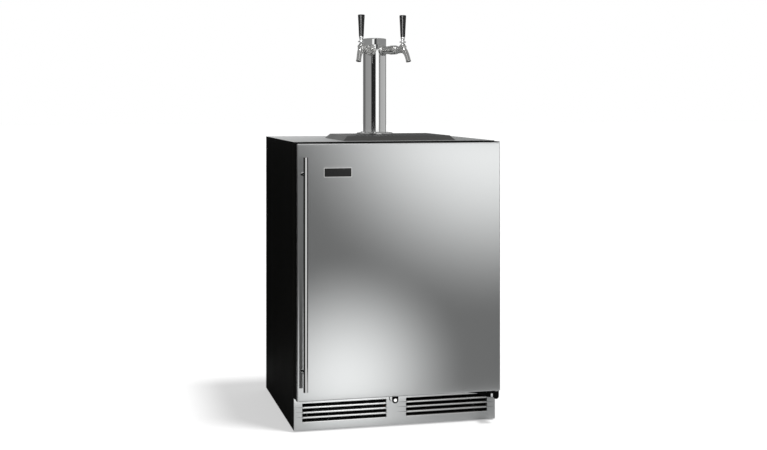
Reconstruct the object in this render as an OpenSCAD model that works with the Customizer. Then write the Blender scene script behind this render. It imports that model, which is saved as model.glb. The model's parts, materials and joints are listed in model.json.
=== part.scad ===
// Undercounter draft beer dispenser: an insulated cabinet with one hinged door,
// a drip tray and a tower with two taps on top, and a slotted grille at the bottom.
// Millimetres, +Z up, the front faces -Y and the floor is at z = 0.
// Modules are drawn with y = 0 on the cabinet's front face, and at_face() moves them
// so that the origin lies under the middle of the whole object.

/* [Cabinet] */
// Width of the cabinet
cab_w = 606; // [590:1:640]
// Depth of the cabinet behind its front face
cab_d = 547; // [540:1:600]
// Height of the cabinet from its base to its top
cab_h = 828; // [800:1:870]
// Gap between the floor and the base
floor_gap = 6; // [5:0.5:10]
// Thickness of the outer sheet metal
sheet = 1.5; // [1:0.1:2]
// Thickness of the base plate
base_t = 2; // [1.5:0.1:3]
// Thickness of the insulated walls
wall = 45; // [42:1:50]
// Thickness of the inner liner
liner_t = 1.2; // [0.8:0.1:2]
// Height of the machine space under the cavity
machine_h = 91; // [88:1:105]
// Depth of the compressor space at the back
hump_d = 160; // [156:1:175]
// Rise of the compressor space above the sill
hump_h = 135; // [125:1:160]
// Height of the rail under the sill
rail_h = 15; // [14:0.5:18]
// Depth of the rail under the sill
rail_d = 20; // [15:1:22]

/* [Grille] */
// How far the grille stands in front of the cabinet's face
grille_d = 4.4; // [4:0.2:6]
// Slots in each group
slot_n = 4; // [2:1:4]
// Height of a slot
slot_h = 11.2; // [6:0.1:11.6]
// Height of the lowest slot's centre above the base
slot_first = 29; // [22:0.5:30]
// Distance of the uppermost slot's centre below the sill
slot_last = 19; // [18.5:0.5:26]
// Distance of a slot's inner end from the middle
slot_in = 30; // [26:1:60]
// Distance of a slot's outer end from the cabinet's side
slot_end = 25; // [18:1:60]
// Corner radius of a slot
slot_r = 2.4; // [1:0.1:2.4]

/* [Feet] */
// Distance of the feet from the cabinet's sides
foot_side = 48; // [40:1:60]
// Distance of the feet from the front and the back
foot_end = 55; // [50:1:60]
// Diameter of a foot's pad
foot_d = 38; // [30:1:44]
// Diameter of a foot's stud
stud_d = 10; // [8:1:12]
// Length of a foot's stud above its pad
stud_l = 40; // [36:1:60]

/* [Door] */
// Gap between the door's edge and the cabinet's side
door_side_gap = 1; // [0.5:0.1:2]
// Gap between the sill and the door's bottom edge
door_foot_gap = 3; // [2.5:0.5:8]
// Gap between the door's top edge and the top of the cabinet
door_head_gap = 3.6; // [3.5:0.1:6]
// Thickness of the door without its gasket
door_t = 44; // [42:1:55]
// Space that the gasket fills between door and cabinet
seal_t = 14; // [12:0.5:16]
// Thickness of the door's stainless skin
skin_t = 1.2; // [0.8:0.1:1.5]
// Depth of the skin's folded edge
skin_return = 8; // [6:0.5:9]
// Radius of the skin's folded edge
skin_r = 4; // [2:0.5:5]
// Wall of the door's frame and inner panel
door_wall = 2; // [1.5:0.1:2.4]
// Width of the gasket
seal_w = 22; // [16:1:24]
// Rise of the inner panel inside the gasket
plug_rise = 9; // [6:0.5:10]

/* [Hinges] */
// Distance of the hinge axis from the cabinet's side
hinge_in = 9; // [9:0.5:10]
// Distance of the hinge axis in front of the cabinet's face
hinge_out = 42; // [40:0.5:44]
// Diameter of a hinge pin
pin_d = 7; // [5:0.5:8]
// Wall of a hinge bush
bush_wall = 2; // [1.5:0.1:2]
// Length of a hinge bush
bush_l = 18; // [14:1:24]
// Thickness of the upper hinge plate
plate_t = 1.8; // [1.2:0.1:1.8]
// Thickness of the lower hinge arm
arm_t = 6; // [4:0.5:7]
// Width of the lower hinge's back plate
arm_w = 54; // [52:1:60]
// Diameter of the lower hinge's barrel
barrel_d = 17; // [15:0.5:18]
// Height of the lower hinge's barrel
barrel_h = 24.5; // [20:0.5:26]

/* [Handle] */
// Diameter of the handle bar
bar_d = 13; // [11.5:0.5:18]
// Length of the handle bar
bar_l = 656; // [400:1:680]
// Height of the bar's lower end above the door's bottom edge
bar_foot = 39; // [20:1:44]
// Distance of the bar's axis from the door's front
bar_reach = 52; // [40:1:60]
// Distance of the bar's axis from the door's free edge
bar_in = 15; // [13:0.5:25]
// Diameter of a handle post
post_d = 9; // [7:0.5:9.5]
// Distance of the lower post from the bar's lower end
post_low = 50; // [30:1:80]
// Distance of the upper post from the bar's upper end
post_high = 50; // [30:1:80]
// Diameter of the stud that holds a post to the door
post_stud_d = 5; // [4:0.5:6]

/* [Badge plate] */
// Width of the badge plate
badge_w = 82; // [60:1:100]
// Height of the badge plate
badge_h = 28; // [20:1:40]
// Width of the badge plate's rim
badge_rim = 2; // [1.5:0.1:3]
// Thickness of the badge plate's rim
badge_t = 1.6; // [1.3:0.1:3]
// Distance of the badge plate's middle from the door's free edge
badge_in = 117; // [90:1:200]
// Distance of the badge plate's middle from the door's top edge
badge_down = 82; // [60:1:120]

/* [Lock] */
// Diameter of the lock barrel
lock_d = 11; // [10:0.5:12]
// Width of the lock housing
lock_w = 19; // [18:0.5:22]
// Distance of the lock's axis below the sill
lock_down = 12; // [11.5:0.5:13]
// Distance of the lock from the cabinet's middle, to the right
lock_x = -11; // [-15:1:15]
// Length of the lock housing in front of the rail
lock_l = 36; // [34:1:38]
// Diameter of the lock bolt
bolt_d = 7; // [5:0.5:7]
// Travel of the lock bolt
bolt_travel = 10; // [8:0.5:11]

/* [Drip tray] */
// Width of the drip tray at its foot
tray_w = 344; // [320:1:380]
// Depth of the drip tray at its foot
tray_d = 290; // [286:1:310]
// Distance of the drip tray from the cabinet's front face
tray_front = 55; // [50:1:58]
// How far the drip tray stands to the right of the tower
tray_shift = 27; // [0:1:30]
// Height of the drip tray
tray_h = 14; // [12:0.5:20]
// How far the tray's sides lean in
tray_lean = 14; // [8:1:16]
// Width of the basin
basin_w = 288; // [200:1:290]
// Depth of the basin from front to back
basin_d = 118; // [90:1:122]
// Thickness of the plate that is the basin's floor
basin_floor = 4; // [3:0.5:5]
// Width of the ledge that carries the grid
ledge = 6; // [4:0.5:8]
// Thickness of the drip grid
grid_t = 3; // [2:0.5:4]
// Width of a slot in the drip grid
grid_slot = 6; // [4:0.5:7]
// Distance between the grid's slots
grid_pitch = 12; // [10:0.5:16]

/* [Tower] */
// Distance of the tower's axis from the cabinet's front face
tower_y = 274; // [270:1:280]
// Height of the tower above the drip tray
tower_h = 299; // [250:1:340]
// Outer diameter of the column
col_d = 73; // [71:0.5:76]
// Wall of the column
col_wall = 1.6; // [1.2:0.1:2]
// Diameter of the base flange
flange_d = 114; // [108:1:114]
// Thickness of the base flange
flange_t = 4.5; // [3:0.5:6]
// Diameter of the circle of flange screws
flange_pcd = 94; // [90:1:96]
// Rise of the cap's dome
cap_rise = 4; // [2:0.5:8]
// Height of the cap's edge
cap_edge = 2; // [1:0.5:4]
// Outer diameter of the throat that leads the lines down
throat_d = 58; // [50:1:60]
// Wall of the throat
throat_wall = 2.5; // [2:0.1:3]

/* [Taps] */
// Angle of each tap from straight ahead
tap_angle = 32.5; // [32:0.5:45]
// Distance of a tap's lever from the tower's axis
tap_reach = 121.5; // [121:0.5:126]
// Distance of the shanks below the top of the tower
shank_down = 38; // [32:1:60]
// Diameter of a shank
shank_d = 18; // [16:0.5:18]
// Diameter of the bore of a shank
shank_bore = 6; // [5:0.5:7]
// Diameter of the escutcheon on the column
escutcheon_d = 34; // [28:0.5:36]
// Diameter of a shank's collar
collar_d = 26; // [24:0.5:27]
// Diameter of a coupling nut
nut_d = 28; // [27:0.5:32]
// Length of a coupling nut
nut_l = 24; // [22:0.5:25]
// Height of a lever's pivot above the shank
pivot_up = 12.5; // [12.5:0.1:14]
// Radius of a bonnet's dome
dome_r = 8.3; // [8:0.1:8.6]
// Diameter of a lever's ball
ball_d = 11; // [10:0.2:11.4]
// Diameter of a lever's stem
stem_d = 6; // [5:0.2:6]
// Diameter of a lever's collar
lever_collar_d = 20; // [16:0.5:20]
// Diameter of a spout
spout_d = 15; // [14:0.5:16]
// Length of a spout
spout_l = 39; // [34:1:46]
// Lean of a spout from straight down
spout_lean = 20; // [15:1:25]
// Distance of a spout's bend beyond the lever
spout_out = 11; // [10:0.5:13]
// Length of a tap handle
handle_l = 67; // [50:1:120]
// Diameter of a tap handle at its top
handle_top_d = 21; // [18:0.5:30]
// Diameter of a tap handle at its foot
handle_foot_d = 15; // [13:0.5:18]
// Outer diameter of a beer line
line_d = 9; // [8:0.5:9.5]
// Inner diameter of a beer line
line_bore = 6; // [4:0.5:6]

/* [Cooling] */
// Diameter of the compressor
comp_d = 136; // [120:1:140]
// Height of the compressor's casing
comp_h = 165; // [140:1:175]
// Distance of the compressor from the middle
comp_x = 110; // [100:1:130]
// Width of the condenser coil
coil_w = 200; // [160:1:220]
// Depth of the condenser coil
coil_d = 40; // [36:1:44]
// Diameter of the condenser fan
cond_fan_d = 74; // [60:1:76]
// Width of the evaporator's cover
evap_w = 300; // [260:1:340]
// Height of the evaporator's cover
evap_h = 210; // [200:1:240]
// Depth of the evaporator's cover
evap_d = 80; // [78:1:90]
// Diameter of the evaporator fan
evap_fan_d = 88; // [70:1:96]
// Diameter of the thermostat knob
knob_d = 26; // [20:1:30]
// Bore of the gland for the power lead
gland_bore = 9; // [7:0.5:11]

/* [Hidden] */
$fn = 64;
// Overshoot of a cut beyond the face that it opens
over = 1;
// Clearance between pieces that move past each other
run_gap = 0.3;
// Radial clearance of pins and shafts in their bores
pin_gap = 0.05;
// Radial clearance of screws and studs in their holes
hole_gap = 0.2;

x_out = cab_w / 2;
x_shell = x_out - sheet;
x_in = x_out - wall;
z_base = floor_gap;
z_floor = z_base + base_t;
z_top = z_base + cab_h;
z_under_top = z_top - sheet;
z_sill = z_base + machine_h;
slot_l = x_out - slot_in - slot_end;
slot_pitch = (machine_h - slot_first - slot_last) / max(slot_n - 1, 1);
z_in0 = z_sill + wall;
z_in1 = z_under_top - wall;
y_back_in = cab_d - sheet;
y_in1 = cab_d - wall;
y_mach = y_back_in - hump_d;
y_hump = y_mach - wall;
z_mach = z_sill + hump_h;
z_hump = z_mach + wall;

// Levelling feet
pad_h = floor_gap - 0.5;
nut_h = 9;
weld_nut_r = stud_d / 2 + 4;
foot_x = x_out - foot_side;
foot_y = [foot_end, cab_d - foot_end];

// Door and its handle
door_x = x_out - door_side_gap;
door_z0 = z_sill + door_foot_gap;
door_z1 = z_top - door_head_gap;
door_back = -seal_t;
door_front = door_back - door_t;
skin_back = door_front + skin_return;
frame_x = door_x - door_wall;
frame_z = [door_z0 + door_wall, door_z1 - door_wall];
liner_front = door_back - door_wall;
core_front = door_front + skin_t;
plug_in = 14;
plug_x = x_in - plug_in;
plug_z = [z_in0 + plug_in, z_in1 - plug_in];
plug_back = door_back + plug_rise;
seal_gap = 0.4;
bar_x = bar_in - door_x;
bar_y = door_front - bar_reach;
bar_z = [door_z0 + bar_foot, door_z0 + bar_foot + bar_l];
bar_edge = 1;
post_z = [bar_z[0] + post_low, bar_z[1] - post_high];
post_stud_l = 12;
badge_x = badge_in - door_x;
badge_z = door_z1 - badge_down;
badge_r = 2.5;
badge_inlay_t = badge_t - 0.4;

// Hinges
hinge_x = x_out - hinge_in;
hinge_y = -hinge_out;
pin_r = pin_d / 2;
bush_bore_r = pin_r + pin_gap;
bush_r = pin_r + bush_wall;
bush_flange_t = 2.5;
bush_flange_r = bush_r + 2;
seal_x = hinge_x - 6;
seal_foot = 10;
plate_front = hinge_y - pin_r - 8;
plate_back = 40;
plate_x0 = hinge_x - 32;
plate_z0 = z_under_top - plate_t;
arm_z1 = door_z0 - bush_flange_t - run_gap;
arm_z0 = arm_z1 - arm_t;
arm_front = hinge_y - barrel_d / 2;
arm_x0 = hinge_x - 22;
arm_plate_t = 3;
arm_plate_x0 = x_shell - arm_w;
arm_plate_z0 = z_sill - 10;
arm_notch_gap = 1.5;
barrel_z0 = arm_z1 - barrel_h;
pin_reach = bush_l - 2;
stop_bolt_x = hinge_x - barrel_d / 2 - 4.5;
stop_bolt_r = 2.5;
stop_head_r = 4;
stop_head_h = 12;
arm_bolt_r = 3;
arm_bolt_head_r = 4.2;
arm_bolt_head_h = 3;
arm_bolt_l = 12;
arm_bolt_x = [arm_plate_x0 + 6, arm_plate_x0 + 17];
arm_bolt_z = arm_plate_z0 + arm_bolt_head_r + 0.8;

// Lock
lock_z = z_sill - lock_down;
lock_r = lock_d / 2;
lock_front = -lock_l;
lock_rim = 2;
lock_depth = 10;
lock_notch_gap = 1;
lock_bore_back = lock_front + lock_depth;
bolt_r = bolt_d / 2;
bolt_y = lock_bore_back + bolt_r + 1.5;
bolt_z = [lock_z - lock_w / 2 + 3, door_z0 - 4.5];
strike_gap = 0.8;
strike_d = bolt_travel + 4;
key_slot_w = 1.6;
key_slot_h = 7;
key_slot_d = 2;

// Drip tray and tower
z_tray = z_top + tray_h;
tray_y = [tray_front, tray_front + tray_d];
tray_x = tray_w / 2;
tray_top_x = tray_x - tray_lean;
basin_y0 = tray_front + tray_lean + 6;
basin_y = [basin_y0, basin_y0 + basin_d];
basin_r = 10;
well_r = 2;
grid_gap = 0.5;
seat_gap = 0.2;
grid_z = z_tray - grid_t;
grid_rib = 12;
throat_r = throat_d / 2;
throat_gap = 0.3;
col_r = col_d / 2;
col_in = col_r - col_wall;
z_cap_top = z_tray + tower_h;
z_cap = z_cap_top - cap_rise - cap_edge;
z_shank = z_cap_top - shank_down;
cap_skirt = 12;
cap_arc_r = (pow(col_r, 2) + pow(cap_rise, 2)) / (2 * cap_rise);
cap_arc_n = 12;
cap_wall = 2;
sleeve_wall = 5;
sleeve_top = z_shank - 24;
screw_r = 2.2;
screw_head_r = 4.2;
screw_head_h = 2.5;
screw_l = 30;
flange_turns = [45, 135, 225, 315];
line_plate_r = throat_r + 14;
line_plate_t = 6;

// Stations of a tap along its shank, measured from the tower's axis
tail_x = 24;
tail_end = 25.5;
ring_x = [26, 31];
ring_r = 13.3;
escutcheon_x = col_r + 5;
nut_x1 = tap_reach - 28;
nut_x0 = nut_x1 - nut_l;
collar_x = nut_x0 - 1;
head_x = [nut_x0 + 5, nut_x0 + 10];
shank_r = shank_d / 2;
tail_r = line_d / 2;
head_r = shank_r + 2;
nut_slots = 8;
nut_slot_w = 3.5;
nut_slot_d = 1.6;
body_r = 10;
body_collar_r = 12.5;
boss_r = 11;
boss_top = pivot_up - 1;
valve_r = 6;
valve_x1 = tap_reach + 5;
boss_bore_r = 7.6;
spout_r = spout_d / 2;
spout_bore_r = spout_r - 2;
spout_x = tap_reach + spout_out;
spout_z = -1;
bend_ball_r = body_r + 0.6;
way_r = 4;
dome_wall = 2.3;
dome_slot_foot = 1.5;
stem_r = stem_d / 2;
stem_gap = 0.4;
lever_tip = 9;
tip_r = 1.8;
lever_collar_z = pivot_up + dome_r + 0.6;
lever_collar_t = 4.5;
ferrule_l = 13;
ferrule_r = [5.2, 7];
handle_z = lever_collar_z + lever_collar_t + ferrule_l;
handle_stud_l = 18;
handle_edge = 2.5;
plunger_r = valve_r - run_gap;
plunger_slot = 3;
plunger_back = [tap_reach - 9, tap_reach - plunger_slot];
plunger_front = [tap_reach + plunger_slot, valve_x1 - run_gap];
plunger_stem = tap_reach - 22;
plunger_seal_t = 3;
bend_r = 9;
tail_flange_r = tail_r + 2;
tail_flange_t = 4;
tail_barb_r = 4;
tail_barb_l = 30;
tail_bore_r = 2.5;

// Cooling
mount_h = 14;
mount_r = 11;
mount_stem_r = 4;
comp_plate_t = 3;
comp_plate = [176, 112];
comp_y = y_mach + hump_d / 2;
comp_z0 = z_floor + mount_h;
comp_case_z0 = comp_z0 + comp_plate_t;
comp_r = comp_d / 2;
mount_x = comp_plate[0] / 2 - 14;
mount_y = comp_plate[1] / 2 - 14;
coil_x0 = weld_nut_r + 12 - foot_x;
coil_y0 = rail_d + 8;
coil_top = z_sill - 7;
coil_fins = 22;
coil_tubes = 3;
fin_t = 0.8;
tube_r = 4;
tube_out = 6;
coil_tube_y = coil_y0 + coil_d / 2;
function coil_tube_z(i) = z_floor + (i + 0.5) * (coil_top - z_floor) / coil_tubes;
cond_fan_x = coil_x0 + coil_w / 2;
cond_fan_y = coil_y0 + coil_d + 14;
cond_fan_z = (z_floor + z_sill) / 2;
fan_depth = 16;
fan_hub_r = 12;
fan_blade_w = 24;
fan_blade_t = 1.6;
fan_pitch = 36;
fan_n = 5;
shaft_r = 3;
shaft_in = 12;
motor_r = 20;
cond_motor_l = 42;
fan_gap = 1;
line_z = comp_case_z0 + comp_h * 0.54;
line_run_x = coil_x0 + coil_w + 24;
copper_r = 4;
evap_t = 2;
evap_z0 = z_in1 - evap_h - 20;
evap_y0 = y_in1 - evap_d;
evap_fan_z = evap_z0 + evap_h / 2;
evap_hole_r = evap_fan_d / 2 + 3;
evap_fan_y = evap_y0 + evap_t + 3;
evap_motor_l = 24;
evap_bar_h = 16;
evap_coil_d = 26;
evap_coil_in = 14;
evap_fins = 20;
guard_w = 3;
guard_rings = [0.36, 0.68];
stat_w = 80;
stat_d = 60;
stat_h = 34;
stat_x = x_in - stat_w - 26;
stat_y = 44;
knob_l = 18;
knob_r = knob_d / 2;
knob_x = stat_x + stat_w / 2;
knob_z = z_in1 - stat_h / 2;
knob_stem_r = 3;
knob_stem_l = 14;
light_w = 220;
light_y = [26, 48];
light_h = 9;
gland_wall = 3;
gland_r = gland_bore / 2 + gland_wall;
gland_flange_r = gland_r + 4;
gland_out = 3;
gland_x = -x_out + 90;
gland_z = z_base + 60;
vent_rows = 8;
vent_w = 110;
vent_h = 6;
vent_pitch = 14;
vent_x = [-x_out / 2, 0, x_out / 2];

// The origin lies under the middle of the box round the whole object
y_face = -(cab_d + gland_out + bar_y - bar_d / 2) / 2;

// Places and shapes that repeat

module at_face() {
  translate([0, y_face, 0]) children();
}

module span(x, y, z) {
  translate([x[0], y[0], z[0]]) cube([x[1] - x[0], y[1] - y[0], z[1] - z[0]]);
}

module rod_x(r, x, y, z) {
  translate([x[0], y, z]) rotate([0, 90, 0]) cylinder(r = r, h = x[1] - x[0]);
}

module rod_y(r, x, y, z) {
  translate([x, y[0], z]) rotate([-90, 0, 0]) cylinder(r = r, h = y[1] - y[0]);
}

module rod_z(r, x, y, z) {
  translate([x, y, z[0]]) cylinder(r = r, h = z[1] - z[0]);
}

// Extrudes an outline drawn in Y and Z along X
module along_x(x) {
  translate([x[0], 0, 0]) rotate([90, 0, 90]) linear_extrude(x[1] - x[0]) children();
}

// Extrudes an outline drawn in X and Z along Y
module along_y(y) {
  translate([0, y[1], 0]) rotate([90, 0, 0]) linear_extrude(y[1] - y[0]) children();
}

module both_sides() {
  for (side = [0, 1]) mirror([side, 0, 0]) children();
}

module round_rect(w, h, r) {
  square([w - 2 * r, h], center = true);
  square([w, h - 2 * r], center = true);
  for (sx = [-1, 1], sy = [-1, 1]) translate([sx * (w / 2 - r), sy * (h / 2 - r)]) circle(r);
}

// Box with rounded upright edges
module round_block(x, y, z, r) {
  translate([(x[0] + x[1]) / 2, (y[0] + y[1]) / 2, z[0]])
    linear_extrude(z[1] - z[0]) round_rect(x[1] - x[0], y[1] - y[0], r);
}

// Tap frame: +X points away from the tower along the shank, side is -1 for left and 1 for right
module at_tap(side) {
  translate([0, tower_y, z_shank]) rotate([0, 0, side * tap_angle - 90]) children();
}

module both_taps() {
  for (side = [-1, 1]) at_tap(side) children();
}

module at_flange_screws() {
  for (turn = flange_turns) translate([0, tower_y, 0]) rotate([0, 0, turn])
    translate([flange_pcd / 2, 0, 0]) children();
}

// Cold space, grown by g on every side but the front
module cavity(y0, g) {
  along_x([-x_in - g, x_in + g]) polygon([
    [y0, z_in0 - g], [y_hump + g, z_in0 - g], [y_hump + g, z_hump - g],
    [y_in1 + g, z_hump - g], [y_in1 + g, z_in1 + g], [y0, z_in1 + g]
  ]);
}

// Straight runs of tube with round corners
module tube_run(points, r) {
  for (i = [0:len(points) - 2]) {
    step = points[i + 1] - points[i];
    turn = acos(step[2] / norm(step));
    heading = atan2(step[1], step[0]);
    translate(points[i]) rotate([0, turn, heading]) cylinder(r = r, h = norm(step));
  }
  for (i = [1:len(points) - 2]) translate(points[i]) sphere(r);
}

// Fan with its axis along +Z, from z = 0 to fan_depth
module fan_wheel(d) {
  difference() {
    union() {
      cylinder(r = fan_hub_r, h = fan_depth);
      intersection() {
        cylinder(r = d / 2, h = fan_depth);
        for (i = [0:fan_n - 1]) rotate([0, 0, i * 360 / fan_n]) translate([0, 0, fan_depth / 2])
          rotate([fan_pitch, 0, 0]) translate([fan_hub_r - 2, -fan_blade_w / 2, -fan_blade_t / 2])
            cube([d / 2, fan_blade_w, fan_blade_t]);
      }
    }
    translate([0, 0, fan_depth - shaft_in]) cylinder(r = shaft_r + pin_gap, h = shaft_in + over);
  }
}

// Finned block with tubes along X
module finned_block(x, y, z, fins, tubes, tube_ends) {
  pitch = (x[1] - x[0] - fin_t) / (fins - 1);
  for (i = [0:fins - 1]) span([x[0] + i * pitch, x[0] + i * pitch + fin_t], y, z);
  for (i = [0:tubes - 1])
    rod_x(tube_r, [x[0] - tube_ends, x[1] + tube_ends], (y[0] + y[1]) / 2,
      z[0] + (i + 0.5) * (z[1] - z[0]) / tubes);
}

// Cabinet

module side_panels() {
  color("#181816") at_face() both_sides()
    span([x_shell, x_out], [0, y_back_in], [z_base, z_under_top]);
}

module rear_panel() {
  color("#2a2a2a") at_face() difference() {
    span([-x_out, x_out], [y_back_in, cab_d], [z_base, z_under_top]);
    for (x = vent_x, i = [0:vent_rows - 1])
      translate([x, 0, gland_z + 40 + i * vent_pitch])
        along_y([y_back_in - over, cab_d + over]) round_rect(vent_w, vent_h, vent_h / 2 - 0.5);
    rod_y(gland_r + hole_gap, gland_x, [y_back_in - over, cab_d + over], gland_z);
  }
}

module top_panel() {
  color("#b8bab9") at_face() difference() {
    span([-x_out, x_out], [0, cab_d], [z_under_top, z_top]);
    rod_z(throat_r + throat_gap, 0, tower_y, [z_under_top - over, z_top + over]);
    at_flange_screws() rod_z(screw_r + hole_gap, 0, 0, [z_under_top - over, z_top + over]);
  }
}

module face_frame() {
  color("#3a3a3a") at_face() difference() {
    span([-x_shell, x_shell], [0, sheet], [z_sill, z_under_top]);
    span([-x_in, x_in], [-over, sheet + over], [z_in0, z_in1]);
    span([plate_x0, x_shell + over], [-over, sheet + over], [plate_z0, z_under_top + over]);
  }
}

module base_frame() {
  color("#56585a") at_face() difference() {
    union() {
      span([-x_shell, x_shell], [0, y_back_in], [z_base, z_floor]);
      span([-x_shell, x_shell], [0, rail_d], [z_sill - rail_h, z_sill]);
      both_sides() span([x_shell - rail_d, x_shell], [0, rail_d], [z_base, z_sill]);
      both_sides() for (y = foot_y) rod_z(weld_nut_r, foot_x, y, [z_base, z_floor + nut_h]);
    }
    both_sides() for (y = foot_y)
      rod_z(stud_d / 2 + hole_gap, foot_x, y, [z_base - over, z_floor + nut_h + over]);
    for (x = arm_bolt_x) rod_y(arm_bolt_r + hole_gap, x, [-over, arm_bolt_l], arm_bolt_z);
  }
}

module foam_insulation() {
  color("#e6d9b0") at_face() difference() {
    along_x([-x_shell, x_shell]) polygon([
      [sheet, z_sill], [y_mach, z_sill], [y_mach, z_mach],
      [y_back_in, z_mach], [y_back_in, z_under_top], [sheet, z_under_top]
    ]);
    cavity(sheet - over, liner_t);
    rod_z(throat_r + throat_gap, 0, tower_y, [z_in1, z_under_top + over]);
    at_flange_screws() rod_z(screw_r + hole_gap, 0, 0, [z_tray - screw_l, z_under_top + over]);
    span([plate_x0, x_shell + over], [sheet - over, plate_back], [plate_z0, z_under_top + over]);
  }
}

module inner_liner() {
  color("#c9cccc") at_face() difference() {
    cavity(sheet, liner_t);
    cavity(sheet - over, 0);
    rod_z(throat_r + throat_gap, 0, tower_y, [z_in1 - over, z_in1 + liner_t + over]);
  }
}

module front_grille() {
  color("#a9acac") at_face() difference() {
    span([-x_out, x_out], [-grille_d, 0], [z_base, z_sill]);
    span([-x_shell, x_shell], [sheet - grille_d, over], [z_base + sheet, z_sill - sheet]);
    both_sides() for (i = [0:slot_n - 1])
      translate([slot_in + slot_l / 2, 0, z_base + slot_first + i * slot_pitch])
        along_y([-grille_d - over, over]) round_rect(slot_l, slot_h, slot_r);
    along_y([-grille_d - over, over]) {
      translate([lock_x, lock_z]) circle(lock_w / 2 + lock_notch_gap);
      translate([lock_x - lock_w / 2 - lock_notch_gap, lock_z])
        square([lock_w + 2 * lock_notch_gap, lock_down + over]);
    }
    span([arm_plate_x0 - arm_notch_gap, x_out + over], [-grille_d - over, over],
      [arm_plate_z0 - arm_notch_gap, z_sill + over]);
  }
}

module foot(x, y) {
  color("#3b3b3b") at_face() translate([x, y, 0]) {
    rotate_extrude() polygon([
      [0, 0], [foot_d / 2 - 1.5, 0], [foot_d / 2, 1.5], [foot_d / 2, pad_h - 2],
      [stud_d / 2 + 5, pad_h], [0, pad_h]
    ]);
    rod_z(stud_d / 2, 0, 0, [pad_h - over, pad_h + stud_l]);
  }
}

module foot_front_left() {
  foot(-foot_x, foot_y[0]);
}

module foot_front_right() {
  foot(foot_x, foot_y[0]);
}

module foot_rear_left() {
  foot(-foot_x, foot_y[1]);
}

module foot_rear_right() {
  foot(foot_x, foot_y[1]);
}

// Cooling

module compressor() {
  color("#202224") at_face() translate([comp_x, comp_y, 0]) {
    difference() {
      translate([-comp_plate[0] / 2, -comp_plate[1] / 2, comp_z0])
        cube([comp_plate[0], comp_plate[1], comp_plate_t]);
      for (sx = [-1, 1], sy = [-1, 1])
        rod_z(mount_stem_r + hole_gap, sx * mount_x, sy * mount_y, [comp_z0 - over, comp_case_z0 + over]);
    }
    translate([0, 0, comp_case_z0]) rotate_extrude() polygon([
      [0, 0], [comp_r - 16, 0], [comp_r - 4, 10], [comp_r - 4, comp_h * 0.52], [comp_r, comp_h * 0.52],
      [comp_r, comp_h * 0.56], [comp_r - 5, comp_h * 0.58], [comp_r - 7, comp_h - 22],
      [comp_r - 20, comp_h - 6], [comp_r - 38, comp_h], [0, comp_h]
    ]);
    translate([-comp_r - 12, -24, comp_case_z0 + 34]) cube([30, 48, 42]);
  }
}

module compressor_mounts() {
  color("#1b1b1b") at_face() translate([comp_x, comp_y, 0]) for (sx = [-1, 1], sy = [-1, 1]) {
    rod_z(mount_r, sx * mount_x, sy * mount_y, [z_floor, comp_z0]);
    rod_z(mount_stem_r, sx * mount_x, sy * mount_y, [comp_z0 - over, comp_case_z0 + 5]);
  }
}

module condenser_coil() {
  color("#8f9496") at_face()
    finned_block([coil_x0, coil_x0 + coil_w], [coil_y0, coil_y0 + coil_d], [z_floor, coil_top],
      coil_fins, coil_tubes, tube_out);
}

module condenser_fan() {
  color("#2c2e30") at_face() translate([cond_fan_x, cond_fan_y, cond_fan_z]) rotate([-90, 0, 0])
    fan_wheel(cond_fan_d);
}

module fan_motors() {
  color("#505356") at_face() {
    cond_y = cond_fan_y + fan_depth + fan_gap;
    translate([cond_fan_x, 0, 0]) {
      rod_y(motor_r, 0, [cond_y, cond_y + cond_motor_l], cond_fan_z);
      rod_y(shaft_r, 0, [cond_fan_y + fan_depth - shaft_in + fan_gap, cond_y + over], cond_fan_z);
      span([-motor_r, motor_r], [cond_y + 8, cond_y + 12], [z_floor, cond_fan_z]);
    }
    evap_y = evap_fan_y + fan_depth + fan_gap;
    rod_y(motor_r, 0, [evap_y, evap_y + evap_motor_l], evap_fan_z);
    rod_y(shaft_r, 0, [evap_fan_y + fan_depth - shaft_in + fan_gap, evap_y + over], evap_fan_z);
    span([evap_t - evap_w / 2, evap_w / 2 - evap_t], [evap_y + evap_motor_l - 4, evap_y + evap_motor_l],
      [evap_fan_z - evap_bar_h / 2, evap_fan_z + evap_bar_h / 2]);
  }
}

module refrigerant_lines() {
  color("#b0703c") at_face() {
    coil_end = coil_x0 + coil_w + tube_out;
    tube_run([
      [comp_x - comp_r, comp_y, line_z], [line_run_x, comp_y, line_z],
      [line_run_x, comp_y, coil_tube_z(1)], [line_run_x, coil_tube_y, coil_tube_z(1)],
      [coil_end, coil_tube_y, coil_tube_z(1)]
    ], copper_r);
    rod_z(copper_r, comp_x, comp_y, [comp_case_z0 + comp_h, z_mach]);
  }
}

module power_gland() {
  color("#1d1d1d") at_face() difference() {
    union() {
      rod_y(gland_r, gland_x, [y_back_in - 10, cab_d + over], gland_z);
      rod_y(gland_flange_r, gland_x, [cab_d, cab_d + gland_out], gland_z);
    }
    rod_y(gland_bore / 2, gland_x, [y_back_in - 10 - over, cab_d + gland_out + over], gland_z);
  }
}

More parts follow.
